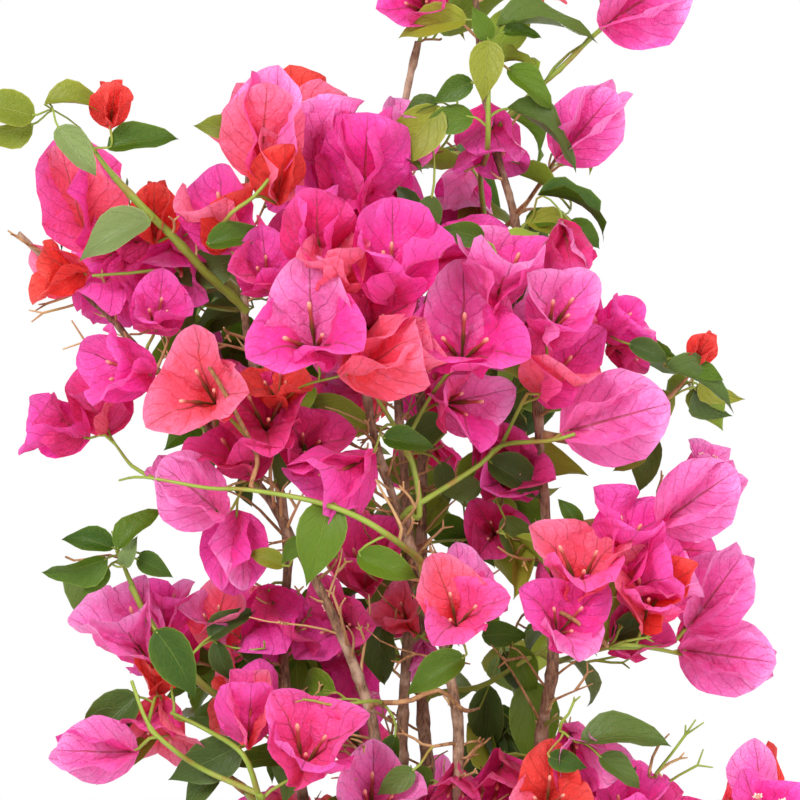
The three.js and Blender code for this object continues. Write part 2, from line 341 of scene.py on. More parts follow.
def leaf_material(name, dark, light, vein):
    """A leaf, lighter towards its edge and pale along its veins."""
    nodes = Nodes(name)
    u, v, shade = blade_map(nodes)
    side, rib, branch, net = veins(nodes, u, v, 5, 0.42, 12.0)
    colour = nodes.mix(shade, dark, light)
    colour = nodes.mix(nodes.times(nodes.step(side, 0.55, 1.0), 0.3), colour, light)
    lines = nodes.larger(nodes.times(branch, 0.42), nodes.times(net, 0.12))
    lines = nodes.larger(lines, nodes.times(rib, 0.85))
    colour = nodes.mix(nodes.times(lines, 0.6), colour, vein)
    colour = nodes.mix(nodes.step(side, 0.9, 0.99, 0.0, 0.55), colour, vein)
    grain = nodes.times(nodes.noise(nodes.place(), 260.0, 2.0), 0.4)
    normal = nodes.bump(nodes.less(grain, nodes.times(lines, 0.7)), 0.7, 0.0011)
    return nodes.finish(colour, 0.45, 0.28, normal, glow=0.22)


def paints(kind, material, rows):
    """A material for each named row of colours."""
    return {name: material(kind + "_" + name, *(rgb(*colour) for colour in colours))
            for name, colours in rows.items()}


# Heart, body, edge and veins.
BRACT_PAINTS = paints("bract", bract_material, {
    "magenta": ((236, 36, 112), (246, 50, 164), (252, 100, 198), (190, 20, 100)),
    "pink": ((246, 60, 152), (251, 96, 188), (252, 158, 222), (186, 30, 106)),
    "blush": ((252, 56, 76), (251, 70, 148), (252, 108, 194), (196, 26, 84)),
    "coral": ((252, 54, 50), (254, 88, 118), (254, 136, 178), (206, 30, 60)),
    "red": ((216, 30, 20), (238, 50, 42), (250, 92, 86), (170, 20, 16)),
    # deep: partly the darker crimson of older bracts, partly painted shade for flowers deep in the
    # crown and at its back.
    "deep": ((214, 28, 76), (234, 42, 124), (246, 82, 168), (158, 14, 60)),
})
# Dark, light and veins.
LEAF_PAINTS = paints("leaf", leaf_material, {
    "mid": ((48, 78, 10), (86, 114, 20), (128, 150, 58)),
    "dark": ((54, 76, 28), (88, 110, 42), (122, 140, 82)),
    "olive": ((98, 112, 24), (140, 144, 40), (172, 172, 88)),
    "pale": ((92, 116, 62), (128, 146, 86), (158, 172, 118)),
    "fresh": ((88, 124, 28), (142, 162, 52), (174, 188, 98)),
})


# --- Wood, tube, pot and mix materials --------------------------------------------------------

def bark_material(name, dark, mid, light, ridge=0.0008):
    """Furrows and pale flecks drawn out along the stems, which run mostly upright."""
    nodes = Nodes(name)
    drawn = nodes.drawn_out((1, 1, 0.22))
    furrow = nodes.noise(drawn, 900.0, 4.0, 0.65)
    patch = nodes.noise(nodes.place(), 90.0, 3.0)
    fleck = nodes.noise(drawn, 1900.0, 2.0)
    colour = nodes.mix(nodes.step(furrow, 0.32, 0.68), dark, mid)
    colour = nodes.mix(nodes.times(nodes.step(patch, 0.45, 0.7), 0.8), colour, light)
    colour = nodes.mix(nodes.times(nodes.step(fleck, 0.62, 0.72), 0.5), colour, light)
    rough = nodes.step(furrow, 0.3, 0.7, 0.72, 0.9)
    return nodes.finish(colour, rough, 0.25, nodes.bump(furrow, 0.7, ridge))


def shoot_material(name, dark, light, blush):
    """Young green or drying shoots, with a blush in patches."""
    nodes = Nodes(name)
    patch = nodes.noise(nodes.place(), 60.0, 3.0)
    grain = nodes.noise(nodes.place(), 900.0, 2.0)
    colour = nodes.mix(patch, dark, light)
    colour = nodes.mix(nodes.step(patch, 0.52, 0.68, 0.0, 0.7), colour, blush)
    return nodes.finish(colour, 0.5, 0.35, nodes.bump(grain, 0.3, 0.0003))


def tube_material():
    """The flower's tube: olive-pink below and paler towards its mouth."""
    nodes = Nodes("flower_tube")
    along = nodes.on_map()[1]
    colour = nodes.mix(nodes.step(along, 0.15, 0.75), rgb(104, 82, 34), rgb(186, 84, 74))
    colour = nodes.mix(nodes.step(along, 0.72, 1.0), colour, rgb(240, 170, 150))
    return nodes.finish(colour, 0.55, 0.3, glow=0.2)


def star_material():
    """The open mouth of a flower: cream lobes round a greenish throat."""
    nodes = Nodes("flower_star")
    lobes = nodes.step(nodes.on_map()[1], 0.1, 0.5)
    return nodes.finish(nodes.mix(lobes, rgb(196, 190, 90), rgb(250, 240, 214)), 0.6, 0.3,
                        glow=0.3)


def pot_material():
    """Moulded plastic with a fine grain, faint turning marks and a little dust."""
    nodes = Nodes("pot_plastic")
    grain = nodes.noise(nodes.place(), 1400.0, 2.0)
    cloud = nodes.noise(nodes.place(), 22.0, 4.0)
    marks = nodes.noise(nodes.drawn_out((0.06, 0.06, 1)), 520.0, 3.0)
    dust = nodes.times(nodes.step(cloud, 0.48, 0.72), 0.35)
    colour = nodes.mix(cloud, rgb(138, 74, 48), rgb(160, 90, 60))
    colour = nodes.mix(dust, colour, rgb(186, 132, 104))
    rough = nodes.step(cloud, 0.3, 0.7, 0.46, 0.66)
    normal = nodes.bump(nodes.plus(nodes.times(grain, 0.35), marks), 0.22, 0.0004)
    return nodes.finish(colour, rough, 0.45, normal)


def mix_material(name, dark, light):
    """Crumbs of moist potting mix or bark."""
    nodes = Nodes(name)
    crumb = nodes.add("TexVoronoi", {"Vector": nodes.place(), "Scale": 420.0})
    grain = nodes.noise(nodes.place(), 260.0, 5.0, 0.7)
    colour = nodes.mix(nodes.step(grain, 0.35, 0.7), dark, light)
    height = nodes.plus(crumb.outputs["Distance"], grain)
    return nodes.finish(colour, 0.95, 0.15, nodes.bump(height, 0.9, 0.0012))


BARK = bark_material("bark", rgb(84, 60, 46), rgb(146, 112, 86), rgb(188, 162, 138))
TWIG_WOOD = bark_material("twig_bark", rgb(110, 74, 46), rgb(160, 116, 76), rgb(196, 158, 112),
                          0.0003)
TWIG_GREEN = shoot_material("twig_green", rgb(110, 132, 38), rgb(154, 168, 70), rgb(150, 112, 56))
TWIG_DRY = shoot_material("twig_dry", rgb(160, 116, 74), rgb(206, 170, 120), rgb(170, 150, 70))
TUBE = tube_material()
STAR = star_material()


# --- Forms that are repeated ------------------------------------------------------------------

Form = namedtuple("Form", "points corners starts uvs")


def form_of(bm, uv):
    """A small mesh as arrays, ready to be repeated."""
    bm.verts.index_update()
    points = np.array([v.co[:] for v in bm.verts])
    corners, starts, uvs = [], [], []
    for face in bm.faces:
        starts.append(len(corners))
        for loop in face.loops:
            corners.append(loop.vert.index)
            uvs.append(loop[uv].uv[:])
    bm.free()
    return Form(points, np.array(corners), np.array(starts), np.array(uvs))


def mapped(bm, spot):
    """A new map, with each corner's place on it worked out from its point."""
    uv = bm.loops.layers.uv.new("OFBake")
    for face in bm.faces:
        for loop in face.loops:
            loop[uv].uv = spot(loop.vert.co)
    return uv


def blade(columns, rows, place):
    """One sheet on a grid: place(side, along) gives the point for side -1 to 1, along 0 to 1."""
    bm = bmesh.new()
    bmesh.ops.create_grid(bm, x_segments=columns, y_segments=rows, size=0.5)
    uv = mapped(bm, lambda point: (point.x + 0.5, eased(point.y + 0.5)))
    for vert in bm.verts:
        vert.co = place(vert.co.x * 2, eased(vert.co.y + 0.5))
    bmesh.ops.remove_doubles(bm, verts=bm.verts, dist=0.00002)
    return form_of(bm, uv)


def eased(along):
    """Spaces the rows closer at both ends of a blade, where its outline turns."""
    return 0.35 * along + 0.65 * (0.5 - 0.5 * math.cos(math.pi * along))


def rounded_ovate(along, widest, point):
    """Half width of a bract, 1 at its widest, full at the foot and the shoulders."""
    if along < widest:
        return math.sqrt(max(0.0, 1 - ((widest - along) / widest) ** 2.4))
    return max(0.0, 1 - ((along - widest) / (1 - widest)) ** 2) ** point


def drawn_ovate(along, widest):
    """Half width of a leaf, 1 at its widest: full at the foot, hollow towards its long tip."""
    if along < widest:
        return max(0.0, 1 - (1 - along / widest) ** 2.3) ** 0.62
    past = min(1.0, (along - widest) / (1 - widest))
    return (1 - past) ** 1.45 * (1 + 1.45 * past)


def rolled(out, up, angle):
    """A point of a blade's section, rolled round the rib."""
    return (out * math.cos(angle) - up * math.sin(angle),
            out * math.sin(angle) + up * math.cos(angle))


def bract_form(seed, open_from, open_to, cup, calm):
    """A bract that leaves its flower at open_from degrees off the flower's axis and ends at
    open_to: round with a short point, cupped, pleated along its veins and waved at its edge.
    Its foot is at the origin, the flower's axis is Z and the bract opens towards X."""
    own = random.Random(seed)
    waves, phase = own.uniform(1.3, 2.3), own.uniform(0, 6.28)
    lift, pleat = own.uniform(1.8, 4.0) * MM * calm, own.uniform(0.8, 1.5) * MM
    twist, widest = own.uniform(-16, 16) * calm, own.uniform(0.40, 0.47)
    point = own.uniform(0.56, 0.8)
    fold = own.uniform(-0.06, 0.22) * calm
    start = Vector((seed * 3.7, 0, 0))

    def place(side, along):
        swing = math.radians(open_from + (open_to - open_from) * along ** 1.2)
        mean = math.radians(open_from + (open_to - open_from) * along ** 1.2 / 2.2)
        half = BRACT_WIDTH / 2 * rounded_ovate(along, widest, point)
        run = BRACT_LENGTH * (along - 0.10 * side * side * (1 - along) ** 5)
        middle = min(1.0, along * 7, (1 - along) * 5)
        half *= 1 + 0.07 * noise.noise(start + Vector((9, along * 6, side))) * middle
        edge = abs(side) ** 2.2 * lift * math.sin(2 * math.pi * waves * along + phase
                                                  + (1.9 if side > 0 else 0))
        vein = pleat * math.sin(9.5 * (along - 0.4 * abs(side)) + phase) * abs(side) ** 0.7
        lumps = noise.noise(start + Vector((side * 1.7, along * 3.4, 0))) * 3.2 * MM * calm
        crumple = noise.noise(start + Vector((side * 4.5, along * 9, 4))) * 1.9 * MM
        height = (cup * half * side * side + fold * half * abs(side)
                  + (edge + vein + lumps + crumple) * middle
                  - 0.9 * MM * math.exp(-(side * 9) ** 2) * middle)
        out, up = rolled(half * side * (1 - 0.04 * cup), height, math.radians(twist) * along)
        return Vector((math.sin(mean) * run - math.cos(swing) * up, out,
                       math.cos(mean) * run + math.sin(swing) * up))

    return blade(BLADE_COLUMNS, BLADE_ROWS, place)


def leaf_form(seed, fold, droop, narrow=1.0):
    """A leaf along X with its face up Z: a gutter at the foot, waved at its edges, turned a
    little along its rib and drooping more and more towards a drawn-out tip."""
    own = random.Random(seed)
    waves, phase = own.uniform(1.3, 2.3), own.uniform(0, 6)
    sway, lift = own.uniform(-0.2, 0.2), own.uniform(0.8, 2.0) * MM
    twist, widest = own.uniform(-26, 26), own.uniform(0.30, 0.38)

    def place(side, along):
        half = LEAF_WIDTH / 2 * narrow * drawn_ovate(along, widest)
        slope = math.radians(droop) * along ** 1.5
        mean = slope / 2.5
        bend = math.radians(fold) * (1.15 - 0.6 * along)
        out, up = half * side * math.cos(bend), half * abs(side) * math.sin(bend)
        wave = math.sin(2 * math.pi * waves * along + phase + (1.7 if side > 0 else 0))
        up += side * side * lift * wave * min(1, along * 4, (1 - along) * 4)
        out, up = rolled(out, up, math.radians(twist) * along)
        out += sway * LEAF_LENGTH * along * along
        run = LEAF_LENGTH * (along - 0.06 * side * side * (1 - along) ** 4)
        return Vector((run * math.cos(mean) + up * math.sin(slope), out,
                       -run * math.sin(mean) + up * math.cos(slope)))

    return blade(LEAF_COLUMNS, LEAF_ROWS, place)


def tube_form(open_mouth):
    """A flower's slender tube along Z, waisted and swollen, its mouth shut or flared."""
    reach = TUBE_LENGTH * (1.05 if open_mouth else 0.95)
    profile = [(-0.4, 0.45), (0.0, 0.55), (0.14, 0.85), (0.32, 1.0), (0.52, 0.7), (0.74, 0.75),
               (0.88, 1.0)]
    profile += [(1.0, 1.4)] if open_mouth else [(0.97, 0.7), (1.0, 0.1)]
    bm = turned([(radius * MM, along * reach) for along, radius in profile], 6)
    return form_of(bm, mapped(bm, lambda point: (0.5, max(0.0, point.z / reach))))


def star_form():
    """The open mouth of a flower: a small ruffled rosette round a throat, facing up Z."""
    bm = bmesh.new()
    bmesh.ops.create_circle(bm, cap_ends=True, cap_tris=True, segments=30, radius=1)
    for vert in bm.verts:
        turn = math.atan2(vert.co.y, vert.co.x)
        out = vert.co.length
        reach = (2.7 + 0.5 * math.cos(5 * turn) + 0.25 * math.cos(10 * turn)) * out * MM
        vert.co = Vector((math.cos(turn) * reach, math.sin(turn) * reach,
                          (TUBE_LENGTH * 1.04 + 0.6 * MM * out * math.cos(10 * turn))))
        vert.co.z -= 1.4 * MM * (1 - out)
    return form_of(bm, mapped(bm, lambda point: (0.5, min(1.0, point.xy.length / (2.6 * MM)))))


# Degrees off the flower's axis at the foot and at the tip; how cupped; how far its edge waves.
OPENINGS = {
    "closed": (12, 5, 0.2, 0.36),
    "shut": (14, 20, 0.42, 0.9),
    "half": (18, 60, 0.42, 1.0),
    "flared": (22, 78, 0.36, 1.0),
    "open": (26, 92, 0.3, 1.0),
    "wide": (40, 118, 0.2, 1.0),
}
BRACT_FORMS = {name: [bract_form(31 * k + len(name), *shape) for k in range(5)]
               for name, shape in OPENINGS.items()}
LEAF_FORMS = {
    "flat": [leaf_form(k, 15, 30) for k in range(5)],
    "folded": [leaf_form(10 + k, 34, 56) for k in range(5)],
    "curled": [leaf_form(20 + k, 50, 100, 0.9) for k in range(4)],
}
TUBE_SHUT, TUBE_OPEN, STAR_FORM = tube_form(False), tube_form(True), star_form()


class Copies:
    """Copies of small forms, joined into one mesh at the end."""

    def __init__(self):
        self.points, self.corners, self.starts, self.uvs = [], [], [], []
        self.vertices = self.loops = 0

    def add(self, form, matrix, cell=None):
        rows = np.array(matrix)
        self.points.append(form.points @ rows[:3, :3].T + rows[:3, 3])
        self.corners.append(form.corners + self.vertices)
        self.starts.append(form.starts + self.loops)
        uvs = form.uvs
        if cell is not None:
            spot = np.array([cell % CELLS[0], cell // CELLS[0]])
            uvs = (spot + 0.01 + 0.98 * uvs) / np.array(CELLS)
        self.uvs.append(uvs)
        self.vertices += len(form.points)
        self.loops += len(form.corners)

    def join(self, name, material):
        mesh = bpy.data.meshes.new(name)
        mesh.vertices.add(self.vertices)
        mesh.vertices.foreach_set("co", np.concatenate(self.points).ravel())
        mesh.loops.add(self.loops)
        mesh.loops.foreach_set("vertex_index", np.concatenate(self.corners))
        starts = np.concatenate(self.starts)
        mesh.polygons.add(len(starts))
        mesh.polygons.foreach_set("loop_start", starts)
        uv = mesh.uv_layers.new(name="OFBake", do_init=False)
        uv.data.foreach_set("uv", np.concatenate(self.uvs).ravel())
        mesh.update(calc_edges=True)
        mesh.validate()
        mesh.materials.append(material)
        mesh.shade_smooth()
        return bpy.data.objects.new(name, mesh)


bracts = {name: Copies() for name in BRACT_PAINTS}
leaves = {name: Copies() for name in LEAF_PAINTS}
flower_tubes, flower_stars = Copies(), Copies()


# --- Limbs: their runs, read from the CAD nodes ------------------------------------------------

def points_of(node):
    return np.array([vert.co[:] for vert in frame["nodes"][node].data.vertices])


def edges_of(node):
    points = points_of(node)
    pairs = np.array([edge.vertices[:] for edge in frame["nodes"][node].data.edges])
    return points[pairs[:, 0]], points[pairs[:, 1]]


def run_of(node, base, aim, step=5 * MM, reach=12 * MM, upright=False):
    """Centre and radius all along a CAD limb, found by slicing it square to its own run, or
    level where it is upright."""
    starts, ends = edges_of(node)
    centre, aim = np.array(base), np.array(aim) / np.linalg.norm(aim)
    found = []
    while len(found) < 200:
        before, after = (starts - centre) @ aim, (ends - centre) @ aim
        cut = (before * after) < 0
        share = (before[cut] / (before[cut] - after[cut]))[:, None]
        section = starts[cut] + share * (ends[cut] - starts[cut])
        section = section[np.linalg.norm(section - centre, axis=1) < reach]
        if len(section) < 3:
            break
        middle = section.mean(0)
        found.append((middle, np.linalg.norm(section - middle, axis=1).mean()))
        if len(found) > 2 and not upright:
            aim = middle - found[-3][0]
            aim = aim / np.linalg.norm(aim)
        centre = middle + aim * step
    return found


def smoothed(run):
    """A run with its centres eased, so that a faceted limb bends smoothly."""
    centres = np.array([centre for centre, _ in run])
    for _ in range(3):
        centres[1:-1] = (centres[:-2] + 2 * centres[1:-1] + centres[2:]) / 4
    return [(Vector(centre), radius) for centre, (_, radius) in zip(centres, run)]


def lowest_end(node):
    points = points_of(node)
    low = points[points[:, 2] < points[:, 2].min() + 3 * MM]
    return low.mean(0) + np.array((0, 0, 2 * MM))


def end_nearest(node, places):
    """The end of a bough that lies nearest to the stems, and the way on from there."""
    points = points_of(node)
    gaps = np.linalg.norm(points[:, None] - places[None], axis=2).min(1)
    near = points[gaps.argmin()]
    end = points[np.linalg.norm(points - near, axis=1) < 7 * MM].mean(0)
    aim = points.mean(0) - end
    return end + aim / np.linalg.norm(aim) * MM, aim


def limb_runs():
    runs = {"foot": smoothed(run_of("foot", lowest_end("foot"), UP, step=3 * MM, reach=40 * MM,
                                    upright=True))}
    for stem in STEMS:
        runs[stem] = smoothed(run_of(stem, lowest_end(stem), UP))
    places = np.array([centre[:] for stem in STEMS for centre, _ in runs[stem]])
    for bough in BOUGHS:
        runs[bough] = smoothed(run_of(bough, *end_nearest(bough, places)))
    return runs


RUNS = limb_runs()


# --- Twigs ------------------------------------------------------------------------------------

class Wood:
    """The points that new twigs can grow from, with the way that the wood runs there."""

    def __init__(self):
        self.places = np.zeros((WOOD_ROOM, 3))
        self.ways = np.zeros((WOOD_ROOM, 3))
        self.radii = np.zeros(WOOD_ROOM)
        self.count = 0

    def add(self, strand):
        """A strand is a list of (point, radius)."""
        for index, (point, radius) in enumerate(strand):
            ahead = strand[min(index + 1, len(strand) - 1)][0]
            behind = strand[max(index - 1, 0)][0]
            self.places[self.count] = point
            self.ways[self.count] = (ahead - behind).normalized()
            self.radii[self.count] = radius
            self.count += 1

    def nearest(self, tip, axis):
        """The best point for a twig that has to end at tip, running along axis."""
        gaps = np.array(tip) - self.places[:self.count]
        lengths = np.maximum(np.linalg.norm(gaps, axis=1), 1e-6)
        with_end = gaps @ np.array(axis) / lengths
        with_wood = (gaps * self.ways[:self.count]).sum(1) / lengths
        short = np.maximum(0, 9 * MM - lengths) * 3
        cost = lengths * (1.75 - 0.5 * with_end - 0.25 * with_wood) + short
        best = int(cost.argmin())
        return Vector(self.places[best]), Vector(self.ways[best]), self.radii[best]

    def gap(self, point):
        """How far a point lies from any wood."""
        return np.linalg.norm(self.places[:self.count] - np.array(point), axis=1).min()


wood = Wood()
for run in RUNS.values():
    wood.add(run)
strands = {"wood": [], "green": [], "dry": []}


def bent(start, way, end, axis, steps, stray=0.0):
    """Points on a smooth bend that leaves start along way and reaches end along axis."""
    length = (end - start).length
    one, two = start + way * length * 0.36, end - axis * length * 0.36
    shift = any_way(stray * length)
    points = []
    for k in range(steps + 1):
        t = k / steps
        a, b = (1 - t) ** 3, 3 * (1 - t) ** 2 * t
        c, d = 3 * (1 - t) * t ** 2, t ** 3
        points.append(start * a + one * b + two * c + end * d + shift * math.sin(math.pi * t))
    return points


def grow_to(tip, axis, thick=0.62 * MM, kind=None):
    """Grows one twig from the nearest wood to tip, and lets later twigs grow from it."""
    start, way, parent = wood.nearest(tip, axis)
    length = (tip - start).length
    leave = ((tip - start).normalized() * 0.75 + way * 0.55).normalized()
    points = bent(start, leave, tip, axis, max(4, int(length / (5 * MM))), 0.05)
    base = min(parent * 0.85, thick + 0.011 * length)
    strand = [(p, base + (thick - base) * (k / (len(points) - 1)) ** 0.8)
              for k, p in enumerate(points)]
    if kind is None:
        kind = "wood" if length > 42 * MM or rng.random() < 0.35 else "green"
    strands[kind].append(strand)
    wood.add(strand[1:])
    return strand


# --- Leaves -----------------------------------------------------------------------------------

ALLOWED = (CAD_BOX[0] - even(MARGIN), CAD_BOX[1] + even(MARGIN))


def kept_in(place, reach):
    """The place, moved in where something of this reach would stand too far out."""
    return Vector([min(max(p, low + reach * 0.9), high - reach * 0.9)
                   for p, low, high in zip(place, *ALLOWED)])


def any_cell():
    return rng.randrange(CELLS[0] * CELLS[1])


def add_leaf(foot, way, face, size, form, tint):
    """A leaf that leaves foot along way with its upper side towards face."""
    shape = rng.choice(LEAF_FORMS[form])
    matrix = basis(foot, way, face - way * face.dot(way), even(size))
    leaves[tint].add(shape, matrix, any_cell())


def leaf_on(point, twig_way, face_bias, size, tint):
    """A leaf on its stalk, out to one side of a twig."""
    side = across(twig_way, rng.uniform(0, 360))
    way = (side * 0.9 + twig_way * 0.6 + UP * -0.15).normalized()
    stalk = rng.uniform(6, 11) * MM * size
    foot = point + way * stalk
    tip = foot + way * LEAF_LENGTH * size
    room = (20 if tip.y < point.y else 14) * MM
    if not inside(tip) or in_window(tip, 0) or veils(tip, room) or not in_outline(tip, MM):
        return
    middle = point + way * stalk * 0.5 + UP * (0.6 * MM)
    strands["green"].append([(point, 0.6 * MM), (middle, 0.5 * MM), (foot, 0.45 * MM)])
    face = (UP * 0.75 + face_bias * 0.8 + any_way(0.5)).normalized()
    form = rng.choice(("flat", "flat", "folded", "folded", "curled"))
    add_leaf(foot, (way + UP * -0.25).normalized(), face, size, form, tint)


def inside(point):
    return all(low <= p <= high for p, low, high in zip(point, *ALLOWED))


def leafy(strand, count, outward, tints, sizes):
    """Leaves in turn along the outer part of a twig."""
    for k in range(count):
        t = 0.35 + 0.65 * (k + rng.uniform(0.2, 0.8)) / count
        index = min(len(strand) - 2, int(t * (len(strand) - 1)))
        point = strand[index][0]
        way = (strand[index + 1][0] - point).normalized()
        leaf_on(point, way, outward, rng.uniform(*sizes), rng.choice(tints))


# --- Flowers ----------------------------------------------------------------------------------

flower_places = []


# How far the tubes lean out, by how far the flower is open.
TUBE_LEAN = {"closed": 0.08, "shut": 0.15, "half": 0.3, "flared": 0.42, "open": 0.42,
             "wide": 0.42}


def add_flower(foot, axis, roll, size, tints, opening, stars=0.15):
    """Three bracts round an axis, each with a tube on its rib, all from one foot."""
    for k in range(3):
        out = across(axis, roll + 120 * k + rng.uniform(-9, 9))
        form = rng.choice(BRACT_FORMS[opening])
        matrix = basis(foot, out, axis, even(size * rng.uniform(0.93, 1.06)))
        bracts[tints[k % len(tints)]].add(form, matrix, any_cell())
        is_open = rng.random() < stars
        way = (axis + out * TUBE_LEAN[opening] + any_way(0.06)).normalized()
        matrix = basis(foot + way * 7 * MM * size, out, way, even(size * rng.uniform(0.9, 1.1)))
        flower_tubes.add(TUBE_OPEN if is_open else TUBE_SHUT, matrix)
        if is_open:
            flower_stars.add(STAR_FORM, matrix)
    flower_places.append(foot + axis * 14 * MM * size)


# --- The blossom and leaves that give the front its look ---------------------------------------

MASSES = [middle_and_half(node) for node in BLOOM_MASSES + LEAF_MASSES]


def hung(x, up, back):
    """A point across and up from the crown's middle, so far behind the front of the masses."""
    z = up * MM + CROWN_MIDDLE.z
    front, near = None, None
    for middle, half in MASSES:
        off = ((x * MM - middle.x) / half.x) ** 2 + ((z - middle.z) / half.z) ** 2
        if off < 1:
            y = middle.y - half.y * math.sqrt(1 - off)
            front = y if front is None else min(front, y)
        elif middle.y < 0.03 and (near is None or off < near[0]):
            near = (off, middle.y)
    return Vector((x * MM, (near[1] if front is None else front) + back * MM, z))


